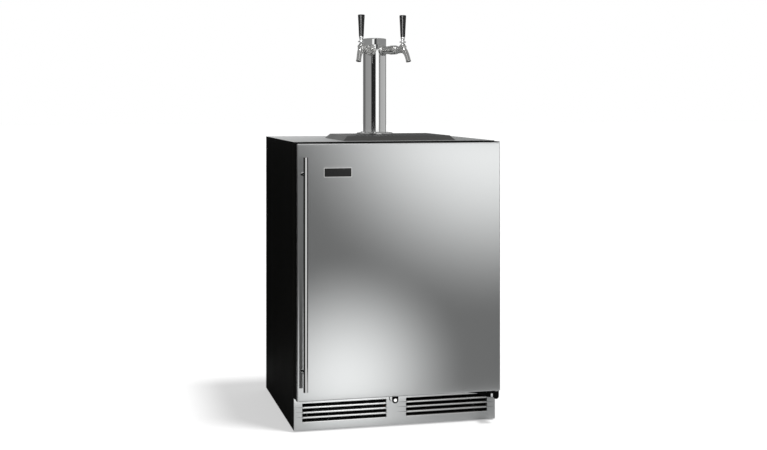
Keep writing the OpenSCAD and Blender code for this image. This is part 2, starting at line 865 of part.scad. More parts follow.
module evaporator_cover() {
  color("#e4e6e6") at_face() {
    difference() {
      span([-evap_w / 2, evap_w / 2], [evap_y0, y_in1], [evap_z0, evap_z0 + evap_h]);
      span([evap_t - evap_w / 2, evap_w / 2 - evap_t], [evap_y0 + evap_t, y_in1 + over],
        [evap_z0 + evap_t, evap_z0 + evap_h - evap_t]);
      rod_y(evap_hole_r, 0, [evap_y0 - over, evap_y0 + evap_t + over], evap_fan_z);
      for (i = [-3:3]) translate([i * evap_w / 8, 0, 0])
        span([-12, 12], [evap_y0 + 20, evap_y0 + 26], [evap_z0 - over, evap_z0 + evap_t + over]);
    }
    for (share = guard_rings) difference() {
      rod_y(evap_hole_r * share + guard_w / 2, 0, [evap_y0, evap_y0 + evap_t], evap_fan_z);
      rod_y(evap_hole_r * share - guard_w / 2, 0, [evap_y0 - over, evap_y0 + evap_t + over], evap_fan_z);
    }
    guard_reach = evap_hole_r + over;
    translate([0, 0, evap_fan_z]) for (turn = [0, 60, 120]) rotate([0, turn, 0])
      span([-guard_reach, guard_reach], [evap_y0, evap_y0 + evap_t], [-guard_w / 2, guard_w / 2]);
  }
}

module evaporator_coil() {
  color("#a5a9ab") at_face()
    finned_block([evap_coil_in - evap_w / 2, evap_w / 2 - evap_coil_in], [y_in1 - evap_coil_d, y_in1],
      [evap_z0 + evap_coil_in, evap_z0 + evap_h - evap_coil_in], evap_fins, 4, 4);
}

module evaporator_fan() {
  color("#f0f0f0") at_face() translate([0, evap_fan_y, evap_fan_z]) rotate([-90, 0, 0])
    fan_wheel(evap_fan_d);
}

module thermostat_housing() {
  color("#eceeee") at_face() difference() {
    span([stat_x, stat_x + stat_w], [stat_y, stat_y + stat_d], [z_in1 - stat_h, z_in1]);
    rod_y(knob_stem_r + pin_gap, knob_x, [stat_y - over, stat_y + knob_stem_l + over], knob_z);
  }
}

module thermostat_knob() {
  color("#2a2a2a") at_face() {
    knob_back = stat_y - run_gap;
    difference() {
      rod_y(knob_r, knob_x, [knob_back - knob_l, knob_back], knob_z);
      both_flats = knob_r * 0.35;
      translate([knob_x, 0, knob_z]) both_sides()
        span([both_flats, knob_r + over], [knob_back - knob_l - over, knob_back - 5], [-knob_r, knob_r]);
    }
    rod_y(knob_stem_r, knob_x, [knob_back - over, stat_y + knob_stem_l], knob_z);
  }
}

module light_bar() {
  color("#f7f7f2") at_face() along_x([-light_w / 2, light_w / 2]) polygon([
    [light_y[0], z_in1], [light_y[0] + 2, z_in1 - light_h + 3], [light_y[0] + 5, z_in1 - light_h],
    [light_y[1] - 5, z_in1 - light_h], [light_y[1] - 2, z_in1 - light_h + 3], [light_y[1], z_in1]
  ]);
}

// Hinges and lock

module hinge_brackets() {
  color("#141414") at_face() {
    difference() {
      span([plate_x0, x_shell], [plate_front, plate_back], [plate_z0, z_under_top]);
      rod_z(pin_r + pin_gap, hinge_x, hinge_y, [plate_z0 - over, z_under_top + over]);
    }
    difference() {
      union() {
        span([arm_x0, x_shell], [hinge_y, 0], [arm_z0, arm_z1]);
        span([arm_x0, hinge_x], [arm_front, hinge_y], [arm_z0, arm_z1]);
        span([arm_plate_x0, x_shell], [-arm_plate_t, 0], [arm_plate_z0, z_sill]);
        rod_z(barrel_d / 2, hinge_x, hinge_y, [barrel_z0 + barrel_d / 2, arm_z1]);
        translate([hinge_x, hinge_y, barrel_z0 + barrel_d / 2]) sphere(barrel_d / 2);
      }
      rod_z(pin_r + pin_gap, hinge_x, hinge_y, [barrel_z0 + 5, arm_z1 + over]);
      rod_z(stop_bolt_r + hole_gap, stop_bolt_x, hinge_y, [arm_z0 - over, arm_z1 + over]);
      for (x = arm_bolt_x) rod_y(arm_bolt_r + hole_gap, x, [-arm_plate_t - over, over], arm_bolt_z);
    }
  }
}

module hinge_hardware() {
  color("#c4c6c8") at_face() {
    rod_z(pin_r, hinge_x, hinge_y, [door_z1 - pin_reach, z_under_top]);
    rod_z(pin_r, hinge_x, hinge_y, [barrel_z0 + 5, door_z0 + pin_reach]);
    rod_z(stop_bolt_r, stop_bolt_x, hinge_y, [arm_z0 - over, arm_z1]);
    rod_z(stop_head_r, stop_bolt_x, hinge_y, [arm_z0 - stop_head_h, arm_z0]);
    for (x = arm_bolt_x) {
      rod_y(arm_bolt_r, x, [-arm_plate_t - over, arm_bolt_l - over], arm_bolt_z);
      rod_y(arm_bolt_head_r, x, [-arm_plate_t - arm_bolt_head_h, -arm_plate_t], arm_bolt_z);
    }
  }
}

module lock_housing() {
  color("#101010") at_face() difference() {
    along_y([lock_front, 0]) {
      translate([lock_x, lock_z]) circle(lock_w / 2);
      translate([lock_x - lock_w / 2, lock_z]) square([lock_w, lock_down]);
    }
    rod_y(lock_r + pin_gap, lock_x, [lock_front - over, lock_bore_back], lock_z);
    rod_z(bolt_r + pin_gap, lock_x, bolt_y, [bolt_z[0] - run_gap, z_sill + over]);
  }
}

module lock_barrel() {
  color("#d4d6d8") at_face() difference() {
    union() {
      rod_y(lock_r, lock_x, [lock_front - lock_rim, lock_bore_back - run_gap], lock_z);
      rod_y(lock_r + 1.2, lock_x, [lock_front - lock_rim, lock_front - run_gap], lock_z);
    }
    translate([lock_x, lock_front - lock_rim, lock_z])
      span([-key_slot_w / 2, key_slot_w / 2], [-over, key_slot_d], [-key_slot_h / 2, key_slot_h / 2]);
  }
}

module lock_bolt() {
  color("#b9bcbe") at_face() rod_z(bolt_r, lock_x, bolt_y, bolt_z);
}

// Door

// Outline of the folded skin, shrunk by g, with its two front edges rounded
module skin_outline(g) {
  half = door_x - g;
  r = skin_r - g;
  front = door_front + g;
  translate([-half, front + r]) square([2 * half, skin_back - front - r]);
  translate([-half + r, front]) square([2 * (half - r), r + 0.5]);
  for (sx = [-1, 1]) translate([sx * (half - r), front + r]) circle(r);
}

module door_skin() {
  color("#b4b7b8") at_face() difference() {
    translate([0, 0, door_z0]) linear_extrude(door_z1 - door_z0) skin_outline(0);
    difference() {
      translate([0, 0, door_z0 + skin_t])
        linear_extrude(door_z1 - door_z0 - 2 * skin_t) skin_outline(skin_t);
      span([-door_x, door_x], [skin_back, skin_back + over], [door_z0, door_z1]);
    }
    span([skin_t - door_x, door_x - skin_t], [skin_back - over, skin_back + over],
      [door_z0 + skin_t, door_z1 - skin_t]);
    for (z = post_z) rod_y(post_stud_d / 2 + hole_gap, bar_x, [door_front - over, core_front + over], z);
  }
}

module door_frame() {
  color("#161616") at_face() difference() {
    span([-door_x, door_x], [skin_back, door_back], [door_z0, door_z1]);
    span([-frame_x, frame_x], [skin_back - over, door_back + over], frame_z);
    rod_z(bush_r + pin_gap, hinge_x, hinge_y, [door_z0 - over, frame_z[0] + over]);
    rod_z(bush_r + pin_gap, hinge_x, hinge_y, [frame_z[1] - over, door_z1 + over]);
    rod_z(bolt_r + strike_gap, lock_x, bolt_y, [door_z0 - over, frame_z[0] + over]);
  }
}

module door_core() {
  color("#e8dcb6") at_face() difference() {
    union() {
      span([-frame_x, frame_x], [core_front, liner_front], frame_z);
      span([door_wall - plug_x, plug_x - door_wall], [liner_front - over, plug_back - door_wall],
        [plug_z[0] + door_wall, plug_z[1] - door_wall]);
    }
    // the folded edge of the skin is round inside, so the core's front edges are cut back
    both_sides() span([door_x - skin_r, door_x], [door_front, door_front + skin_r], [door_z0, door_z1]);
    rod_z(bush_r + pin_gap, hinge_x, hinge_y, [door_z0, door_z0 + bush_l]);
    rod_z(bush_r + pin_gap, hinge_x, hinge_y, [door_z1 - bush_l, door_z1]);
    rod_z(bolt_r + strike_gap, lock_x, bolt_y, [door_z0, door_z0 + strike_d]);
    for (z = post_z) rod_y(post_stud_d / 2 + hole_gap, bar_x, [door_front, door_front + post_stud_l], z);
  }
}

module door_liner() {
  color("#d9dcdc") at_face() difference() {
    union() {
      span([-frame_x, frame_x], [liner_front, door_back], frame_z);
      span([-plug_x, plug_x], [door_back - over, plug_back], plug_z);
    }
    span([door_wall - plug_x, plug_x - door_wall], [liner_front - over, plug_back - door_wall],
      [plug_z[0] + door_wall, plug_z[1] - door_wall]);
  }
}

module door_gasket() {
  color("#6e7072") at_face() {
    seal_z = [door_z0 + seal_foot, door_z1 - seal_foot];
    seal_in_x = seal_x - seal_w;
    seal_in_z = [seal_z[0] + seal_w, seal_z[1] - seal_w];
    difference() {
      span([-seal_x, seal_x], [door_back, -seal_gap], seal_z);
      span([-seal_in_x, seal_in_x], [door_back - over, over], seal_in_z);
    }
  }
}

module handle_bar() {
  color("#c2c5c6") at_face() difference() {
    translate([bar_x, bar_y, bar_z[0]]) rotate_extrude() polygon([
      [0, 0], [bar_d / 2 - bar_edge, 0], [bar_d / 2, bar_edge], [bar_d / 2, bar_l - bar_edge],
      [bar_d / 2 - bar_edge, bar_l], [0, bar_l]
    ]);
    for (z = post_z) rod_y(post_d / 2 + pin_gap, bar_x, [bar_y, bar_y + bar_d], z);
  }
}

module handle_posts() {
  color("#b9bcbd") at_face() for (z = post_z) {
    rod_y(post_d / 2, bar_x, [bar_y, door_front], z);
    rod_y(post_stud_d / 2, bar_x, [door_front - over, door_front + post_stud_l], z);
  }
}

module badge_bezel() {
  color("#c8cacb") at_face() translate([badge_x, 0, badge_z])
    along_y([door_front - badge_t, door_front]) difference() {
      round_rect(badge_w, badge_h, badge_r);
      square([badge_w - 2 * badge_rim, badge_h - 2 * badge_rim], center = true);
    }
}

module badge_inlay() {
  color("#0e0e0e") at_face() translate([badge_x, 0, badge_z])
    along_y([door_front - badge_inlay_t, door_front])
      square([badge_w - 2 * badge_rim, badge_h - 2 * badge_rim], center = true);
}

module hinge_bushes() {
  color("#dcdcd4") at_face() difference() {
    union() {
      rod_z(bush_r, hinge_x, hinge_y, [door_z0 - over, door_z0 + bush_l]);
      rod_z(bush_flange_r, hinge_x, hinge_y, [door_z0 - bush_flange_t, door_z0]);
      rod_z(bush_r, hinge_x, hinge_y, [door_z1 - bush_l, door_z1]);
    }
    rod_z(bush_bore_r, hinge_x, hinge_y, [door_z0 - bush_flange_t - over, door_z0 + bush_l + over]);
    rod_z(bush_bore_r, hinge_x, hinge_y, [door_z1 - bush_l - over, door_z1 + over]);
  }
}

// Drip tray

// Room of the basin under the ledge, smaller by a gap all round
module basin_well(gap, z) {
  x = basin_w / 2 - ledge - gap;
  round_block([-x, x], [basin_y[0] + ledge + gap, basin_y[1] - ledge - gap], z, well_r - gap);
}

module drip_tray() {
  color("#4c4e50") at_face() {
    difference() {
      translate([tray_shift, 0, 0]) difference() {
        intersection() {
          along_y(tray_y) polygon([
            [-tray_x, z_top], [tray_x, z_top], [tray_top_x, z_tray], [-tray_top_x, z_tray]
          ]);
          along_x([-tray_x, tray_x]) polygon([
            [tray_y[0], z_top], [tray_y[1], z_top],
            [tray_y[1] - tray_lean, z_tray], [tray_y[0] + tray_lean, z_tray]
          ]);
        }
        round_block([-basin_w / 2, basin_w / 2], basin_y, [grid_z, z_tray + over], basin_r);
        basin_well(0, [z_top - over, z_tray]);
      }
      rod_z(throat_r + throat_gap, 0, tower_y, [z_top - over, z_tray + over]);
      at_flange_screws() rod_z(screw_r + hole_gap, 0, 0, [z_top - over, z_tray + over]);
    }
    translate([tray_shift, 0, 0]) basin_well(pin_gap, [z_top, z_top + basin_floor]);
  }
}

module drip_grid() {
  color("#3c3e40") at_face() translate([tray_shift, 0, 0]) {
    grid_x = basin_w / 2 - grid_gap;
    grid_y = [basin_y[0] + grid_gap, basin_y[1] - grid_gap];
    slot_half = grid_x - ledge - grid_rib / 2;
    columns = floor(slot_half / grid_pitch);
    row_l = (grid_y[1] - grid_y[0] - 2 * ledge - 2 * grid_rib) / 2;
    row_pitch = row_l + grid_rib;
    row_y = grid_y[0] + ledge + row_pitch / 2;
    difference() {
      round_block([-grid_x, grid_x], grid_y, [grid_z + seat_gap, z_tray], basin_r - grid_gap);
      for (i = [-columns:columns], row = [0, 1])
        translate([i * grid_pitch, row_y + row * row_pitch, grid_z - over])
          linear_extrude(grid_t + 2 * over) round_rect(grid_slot, row_l, grid_slot / 2 - 0.5);
    }
  }
}

// Tower

module tower_flange() {
  color("#d6d9da") at_face() difference() {
    union() {
      rod_z(flange_d / 2, 0, tower_y, [z_tray, z_tray + flange_t - 1.5]);
      translate([0, tower_y, z_tray + flange_t - 1.5])
        cylinder(r1 = flange_d / 2, r2 = flange_d / 2 - 1.5, h = 1.5);
    }
    rod_z(col_r + pin_gap, 0, tower_y, [z_tray - over, z_tray + flange_t + over]);
    at_flange_screws() rod_z(screw_r + hole_gap, 0, 0, [z_tray - over, z_tray + flange_t + over]);
  }
}

module tower_fasteners() {
  color("#c9cccd") at_face() {
    at_flange_screws() {
      rod_z(screw_r, 0, 0, [z_tray - screw_l + over, z_tray + flange_t + over]);
      rod_z(screw_head_r, 0, 0, [z_tray + flange_t, z_tray + flange_t + screw_head_h]);
    }
    both_taps() difference() {
      rod_x(ring_r, ring_x, 0, 0);
      rod_x(shank_r + pin_gap, [ring_x[0] - over, ring_x[1] + over], 0, 0);
    }
  }
}

module tower_column() {
  color("#cfd2d4") at_face() difference() {
    rod_z(col_r, 0, tower_y, [z_tray, z_cap]);
    rod_z(col_in, 0, tower_y, [z_tray - over, z_cap + over]);
    both_taps() rod_x(shank_r + hole_gap, [col_in / 2, col_d], 0, 0);
  }
}

module tower_cap() {
  skirt_r = col_in - hole_gap;
  half_arc = asin(col_r / cap_arc_r);
  dome = [for (i = [0:cap_arc_n]) let (turn = half_arc * (1 - i / cap_arc_n))
    [cap_arc_r * sin(turn), cap_edge + cap_rise - cap_arc_r * (1 - cos(turn))]];
  color("#cfd2d4") at_face() translate([0, tower_y, z_cap]) rotate_extrude() polygon(concat(
    [[0, 0], [skirt_r - cap_wall, 0], [skirt_r - cap_wall, -cap_skirt], [skirt_r, -cap_skirt], [skirt_r, 0],
      [col_r, 0]],
    dome
  ));
}

module tower_sleeve() {
  color("#d8d2c0") at_face() difference() {
    rod_z(col_in - hole_gap, 0, tower_y, [z_tray, sleeve_top]);
    rod_z(col_in - hole_gap - sleeve_wall, 0, tower_y, [z_tray - over, sleeve_top + over]);
  }
}

module line_plate() {
  color("#e2e4e4") at_face() difference() {
    union() {
      rod_z(line_plate_r, 0, tower_y, [z_in1 - line_plate_t, z_in1]);
      rod_z(throat_r, 0, tower_y, [z_in1 - over, z_tray]);
    }
    rod_z(throat_r - throat_wall, 0, tower_y, [z_in1, z_tray + over]);
    both_taps() rod_z(tail_r + hole_gap, tail_x - bend_r, 0, [z_in1 - z_shank - line_plate_t - over, 0]);
  }
}

// Taps

module shanks() {
  color("#d0d3d5") at_face() both_taps() difference() {
    union() {
      difference() {
        union() {
          rod_x(escutcheon_d / 2, [0, escutcheon_x], 0, 0);
          rod_x(collar_d / 2, [0, collar_x], 0, 0);
        }
        rod_z(col_r + pin_gap, 0, 0, [-escutcheon_d, escutcheon_d]);
      }
      rod_x(shank_r, [tail_end, head_x[1]], 0, 0);
      rod_x(head_r, head_x, 0, 0);
      rod_x(tail_r, [tail_x, tail_end + over], 0, 0);
    }
    rod_x(shank_bore / 2, [tail_x - over, head_x[1] + over], 0, 0);
  }
}

module coupling_nuts() {
  color("#d3d6d8") at_face() both_taps() difference() {
    rod_x(nut_d / 2, [nut_x0, nut_x1], 0, 0);
    rod_x(shank_r + hole_gap, [nut_x0 - over, nut_x1], 0, 0);
    rod_x(head_r + hole_gap, [head_x[0], nut_x1 + over], 0, 0);
    for (i = [0:nut_slots - 1]) rotate([i * 360 / nut_slots, 0, 0])
      span([nut_x0 + 4, nut_x1 - 4], [-nut_slot_w / 2, nut_slot_w / 2], [nut_d / 2 - nut_slot_d, nut_d]);
  }
}

module faucet_bodies() {
  color("#d3d6d8") at_face() both_taps() difference() {
    union() {
      rod_x(head_r, [head_x[1], nut_x1 + over], 0, 0);
      rod_x(body_collar_r, [nut_x1, nut_x1 + 4], 0, 0);
      rod_x(body_r, [nut_x1, spout_x], 0, 0);
      rod_z(boss_r, tap_reach, 0, [0, boss_top]);
      translate([tap_reach, 0, 0]) sphere(boss_r);
      translate([spout_x, 0, 0]) sphere(bend_ball_r);
      translate([spout_x, 0, spout_z]) rotate([0, 180 - spout_lean, 0]) cylinder(r = spout_r, h = spout_l);
    }
    rod_x(valve_r, [head_x[1] - over, valve_x1], 0, 0);
    rod_x(way_r, [valve_x1 - over, spout_x], 0, 0);
    rod_z(boss_bore_r, tap_reach, 0, [0, boss_top + over]);
    translate([spout_x, 0, spout_z]) rotate([0, 180 - spout_lean, 0])
      cylinder(r = spout_bore_r, h = spout_l + over);
  }
}

module bonnets() {
  color("#d9dcdd") at_face() both_taps() translate([tap_reach, 0, pivot_up]) {
    difference() {
      union() {
        sphere(dome_r);
        rod_z(boss_r - 0.8, 0, 0, [boss_top - pivot_up, 1]);
      }
      sphere(dome_r - dome_wall);
      rod_z(boss_bore_r, 0, 0, [-dome_r - over, 0]);
      span([-dome_r, dome_r], [-dome_r, dome_r], [-dome_r - over, boss_top - pivot_up]);
      slot_half = stem_r + stem_gap;
      span([-slot_half, dome_r + over], [-slot_half, slot_half], [dome_slot_foot, dome_r + over]);
    }
  }
}

module lever(side) {
  color("#d6d9db") at_face() at_tap(side) translate([tap_reach, 0, 0]) {
    translate([0, 0, pivot_up]) sphere(ball_d / 2);
    rod_z(tip_r, 0, 0, [pivot_up - lever_tip, pivot_up]);
    rod_z(stem_r, 0, 0, [pivot_up, handle_z + handle_stud_l]);
    collar_r = lever_collar_d / 2;
    translate([0, 0, lever_collar_z]) rotate_extrude() polygon([
      [0, 0], [collar_r - 1, 0], [collar_r, 1], [collar_r, lever_collar_t - 1.5],
      [ferrule_r[1], lever_collar_t], [0, lever_collar_t]
    ]);
    translate([0, 0, lever_collar_z + lever_collar_t - 0.5]) rotate_extrude() polygon([
      [0, 0], [ferrule_r[0], 0], [ferrule_r[0], ferrule_l * 0.4], [ferrule_r[1], ferrule_l * 0.7],
      [ferrule_r[1], ferrule_l + 0.5], [0, ferrule_l + 0.5]
    ]);
  }
}

module lever_left() {
  lever(-1);
}

module lever_right() {
  lever(1);
}

module plunger(side) {
  color("#a9adb0") at_face() at_tap(side) {
    rod_x(plunger_r, plunger_back, 0, 0);
    rod_x(plunger_r, plunger_front, 0, 0);
    rod_x(stem_r - 1, [plunger_stem, plunger_front[1]], 0, 0);
    rod_x(plunger_r, [plunger_stem, plunger_stem + plunger_seal_t], 0, 0);
  }
}

module plunger_left() {
  plunger(-1);
}

module plunger_right() {
  plunger(1);
}

module tap_handle(side) {
  top_r = handle_top_d / 2;
  foot_r = handle_foot_d / 2;
  edge_cut = handle_edge * 0.3;
  color("#0c0c0d") at_face() at_tap(side) translate([tap_reach, 0, handle_z]) difference() {
    rotate_extrude() polygon([
      [0, 0], [foot_r - 0.8, 0], [foot_r, 1.2], [top_r, handle_l - handle_edge],
      [top_r - edge_cut, handle_l - edge_cut], [top_r - handle_edge, handle_l], [0, handle_l]
    ]);
    rod_z(stem_r + pin_gap, 0, 0, [-over, handle_stud_l + over]);
  }
}

module tap_handle_left() {
  tap_handle(-1);
}

module tap_handle_right() {
  tap_handle(1);
}

module beer_lines() {
  color("#e9eef0") at_face() both_taps() {
    drop = z_in1 - line_plate_t - z_shank;
    translate([tail_x, 0, -bend_r]) rotate([90, 0, 0]) rotate([0, 0, 90]) rotate_extrude(angle = 90)
      translate([bend_r, 0]) difference() {
        circle(tail_r);
        circle(line_bore / 2);
      }
    difference() {
      rod_z(tail_r, tail_x - bend_r, 0, [drop, -bend_r]);
      rod_z(line_bore / 2, tail_x - bend_r, 0, [drop - over, -bend_r + over]);
    }
  }
}

module line_tails() {
  color("#c3b070") at_face() both_taps() translate([tail_x - bend_r, 0, z_in1 - line_plate_t - z_shank]) {
    difference() {
      union() {
        rod_z(tail_flange_r, 0, 0, [-tail_flange_t, 0]);
        rod_z(tail_barb_r, 0, 0, [-tail_flange_t - tail_barb_l, -tail_flange_t + 0.5]);
      }
      rod_z(tail_bore_r, 0, 0, [-tail_flange_t - tail_barb_l - over, over]);
    }
  }
}

side_panels();
rear_panel();
top_panel();
face_frame();
base_frame();
foam_insulation();
inner_liner();
front_grille();
foot_front_left();
foot_front_right();
foot_rear_left();
foot_rear_right();
compressor();
compressor_mounts();
condenser_coil();
condenser_fan();
fan_motors();
refrigerant_lines();
power_gland();
evaporator_cover();
evaporator_coil();
evaporator_fan();
thermostat_housing();
thermostat_knob();
light_bar();
hinge_brackets();
hinge_hardware();
lock_housing();
lock_barrel();
lock_bolt();
door_skin();
door_frame();
door_core();
door_liner();
door_gasket();
handle_bar();
handle_posts();
badge_bezel();
badge_inlay();
hinge_bushes();
drip_tray();
drip_grid();
tower_flange();
tower_fasteners();
tower_column();
tower_cap();
tower_sleeve();
line_plate();
shanks();
coupling_nuts();
faucet_bodies();
bonnets();
beer_lines();
line_tails();
lever_left();
lever_right();
plunger_left();
plunger_right();
tap_handle_left();
tap_handle_right();
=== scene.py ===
"""Looks of a draft beer dispenser.

It is a cooler with one stainless door, a drip tray and a chrome tower with two taps.
Everything is in metres in the frame of the solids: +Z up, the door faces -Y and the floor is at z = 0.
Sizes in the classes are in millimetres, and y counts from the cabinet's face.
"""

from __future__ import annotations

import json
import logging
import math
from abc import ABC, abstractmethod
from collections.abc import Iterator, Sequence
from contextlib import contextmanager
from dataclasses import dataclass, field
from enum import Enum

import bmesh
import bpy
from mathutils import Matrix, Vector

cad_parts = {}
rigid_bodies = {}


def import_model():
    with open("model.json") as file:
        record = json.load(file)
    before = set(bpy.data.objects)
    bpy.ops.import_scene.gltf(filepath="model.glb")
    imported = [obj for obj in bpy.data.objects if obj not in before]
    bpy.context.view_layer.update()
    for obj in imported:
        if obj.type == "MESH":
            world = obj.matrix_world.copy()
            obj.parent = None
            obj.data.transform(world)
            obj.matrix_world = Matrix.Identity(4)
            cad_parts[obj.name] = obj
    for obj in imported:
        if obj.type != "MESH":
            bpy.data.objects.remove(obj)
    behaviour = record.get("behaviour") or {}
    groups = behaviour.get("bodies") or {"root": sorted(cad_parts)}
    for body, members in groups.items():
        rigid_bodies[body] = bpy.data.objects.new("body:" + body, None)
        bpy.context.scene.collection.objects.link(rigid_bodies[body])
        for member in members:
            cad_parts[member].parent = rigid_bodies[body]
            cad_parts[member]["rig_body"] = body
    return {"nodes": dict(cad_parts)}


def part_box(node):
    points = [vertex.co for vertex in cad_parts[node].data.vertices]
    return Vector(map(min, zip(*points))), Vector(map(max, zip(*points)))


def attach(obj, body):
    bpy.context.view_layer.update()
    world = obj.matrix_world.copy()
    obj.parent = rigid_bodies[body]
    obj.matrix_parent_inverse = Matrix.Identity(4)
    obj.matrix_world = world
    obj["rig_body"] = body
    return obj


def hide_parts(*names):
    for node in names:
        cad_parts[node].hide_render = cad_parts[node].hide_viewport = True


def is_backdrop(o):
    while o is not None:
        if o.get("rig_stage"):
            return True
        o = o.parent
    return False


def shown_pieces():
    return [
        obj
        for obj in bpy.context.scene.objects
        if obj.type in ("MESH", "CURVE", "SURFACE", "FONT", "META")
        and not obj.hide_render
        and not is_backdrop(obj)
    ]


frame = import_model()

LOG = logging.getLogger("dispenser")
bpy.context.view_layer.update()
FACE_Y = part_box("top_panel")[0].y
MM = 0.001
MERGE = 2e-6
Colour = tuple[float, float, float]
Point = tuple[float, float, float]
Pair = tuple[float, float]
Profile = Sequence[Pair]
Station = tuple[Vector, Vector, float]


def spot(x: float, y: float, z: float) -> Vector:
    """Returns a point given in millimetres, with y counted from the cabinet's face."""
    return Vector((x * MM, FACE_Y + y * MM, z * MM))


def facing(origin: Vector, direction: Sequence[float]) -> Matrix:
    """Returns a frame at a point whose Z axis looks along a direction."""
    return Matrix.Translation(origin) @ Vector(direction).to_track_quat("Z", "Y").to_matrix().to_4x4()


def rectangle(x: Pair, z: Pair) -> list[Pair]:
    """Returns the corners of an upright rectangle from its ranges of x and z."""
    return [(x[0], z[0]), (x[1], z[0]), (x[1], z[1]), (x[0], z[1])]


def ball(radius: float, middle: float, degrees: range) -> list[Pair]:
    """Returns profile points of a ball about a height, by their angles from its lowest point."""
    turns = [math.radians(turn) for turn in degrees]
    return [(radius * math.sin(turn), middle - radius * math.cos(turn)) for turn in turns]


def edge_middle(edge: bmesh.types.BMEdge) -> Vector:
    """Returns an edge's middle in millimetres."""
    return (edge.verts[0].co + edge.verts[1].co) / 2 / MM


class Side(Enum):
    """The two taps, as the sign of x."""

    LEFT = -1
    RIGHT = 1


class Value:
    """An output socket on which Python arithmetic adds Math nodes."""

    def __init__(self, graph: Graph, socket: bpy.types.NodeSocket) -> None:
        """Wraps one output socket of a graph."""
        self.graph = graph
        self.socket = socket

    def out(self, name: str) -> Value:
        """Returns another output of the same node."""
        return Value(self.graph, self.socket.node.outputs[name])

    def math(self, operation: str, *terms: Value | float) -> Value:
        """Returns the result of a Math node on the terms."""
        return self.graph.node("ShaderNodeMath", {"operation": operation}, dict(enumerate(terms)))

    def __add__(self, other: Value | float) -> Value:
        """Adds."""
        return self.math("ADD", self, other)

    __radd__ = __add__

    def __sub__(self, other: Value | float) -> Value:
        """Subtracts."""
        return self.math("SUBTRACT", self, other)

    def __rsub__(self, other: Value | float) -> Value:
        """Subtracts from a number."""
        return self.math("SUBTRACT", other, self)

    def __mul__(self, other: Value | float) -> Value:
        """Multiplies."""
        return self.math("MULTIPLY", self, other)

    __rmul__ = __mul__


class Graph:
    """Node tree of a material or of the world."""

    def __init__(self, tree: bpy.types.NodeTree) -> None:
        """Takes a tree and empties it."""
        self.tree = tree
        tree.nodes.clear()

    def node(
        self,
        kind: str,
        settings: dict[str, object] | None = None,
        inputs: dict[int | str, object] | None = None,
        out: int | str = 0,
    ) -> Value | None:
        """Adds a node.

        Args:
            kind: the node's type.
            settings: its settings, set first; stops are a ramp's positions and colours.
            inputs: values or links of its sockets, by name or place.
            out: the output that is returned.

        Returns:
            The output, or None for a node without outputs.
        """
        made = self.tree.nodes.new(kind)
        for name, setting in (settings or {}).items():
            if name == "stops":
                self._stops(made.color_ramp, setting)
            else:
                setattr(made, name, setting)
        for key, given in (inputs or {}).items():
            socket = made.inputs[key]
            if isinstance(given, Value):
                self.tree.links.new(given.socket, socket)
            else:
                socket.default_value = given
        return Value(self, made.outputs[out]) if made.outputs else None

    def _stops(self, ramp: bpy.types.ColorRamp, stops: Sequence[tuple[float, Colour]]) -> None:
        """Sets a ramp's stops.

        Args:
            ramp: the ramp.
            stops: the place and colour of each.
        """
        while len(ramp.elements) < len(stops):
            ramp.elements.new(1.0)
        for element, (place, colour) in zip(ramp.elements, stops):
            element.position = place
            element.color = (*colour, 1.0)

    def place(self) -> Value:
        """Returns the Object coordinates."""
        return self.node("ShaderNodeTexCoord", out="Object")

    def noise(self, position: Value, scale: Point | float, detail: float = 2.0) -> Value:
        """Returns cloudy noise.

        Args:
            position: the coordinates that it follows.
            scale: waves per metre, alike or along X, Y and Z.
            detail: how many finer octaves it has.

        Returns:
            The noise from 0 to 1.
        """
        if isinstance(scale, tuple):
            position = self.node("ShaderNodeMapping", {}, {"Vector": position, "Scale": scale})
            scale = 1.0
        inputs = {"Vector": position, "Scale": scale, "Detail": detail, "Roughness": 0.55}
        return self.node("ShaderNodeTexNoise", {}, inputs)

    def blend(self, share: Value, low: Colour, high: Colour) -> Value:
        """Returns a colour between two by a share."""
        inputs = {0: share, 6: (*low, 1.0), 7: (*high, 1.0)}
        return self.node("ShaderNodeMix", {"data_type": "RGBA"}, inputs, out=2)

    def levels(self, share: Value, stops: Profile) -> Value:
        """Returns the grey of a ramp, whose stops are places and levels, at a share."""
        greys = [(place, (level, level, level)) for place, level in stops]
        return self.node("ShaderNodeValToRGB", {"stops": greys}, {"Fac": share})

    def bump(self, height: Value, strength: float, depth: float) -> Value:
        """Returns a normal from a height."""
        return self.node("ShaderNodeBump", {}, {"Strength": strength, "Distance": depth, "Height": height})

    def glow(self, colour: Value | Sequence[float], strength: Value | float = 1.0) -> Value:
        """Returns an emission shader."""
        return self.node("ShaderNodeEmission", {}, {"Color": colour, "Strength": strength})


def new_graph(name: str) -> tuple[bpy.types.Material, Graph]:
    """Makes a material.

    Args:
        name: its name.

    Returns:
        The material and its empty graph.
    """
    material = bpy.data.materials.new(name)
    material.use_nodes = True
    return material, Graph(material.node_tree)


@dataclass
class Surface:
    """What changes over a finish."""

    colour: Value
    roughness: Value
    normal: Value


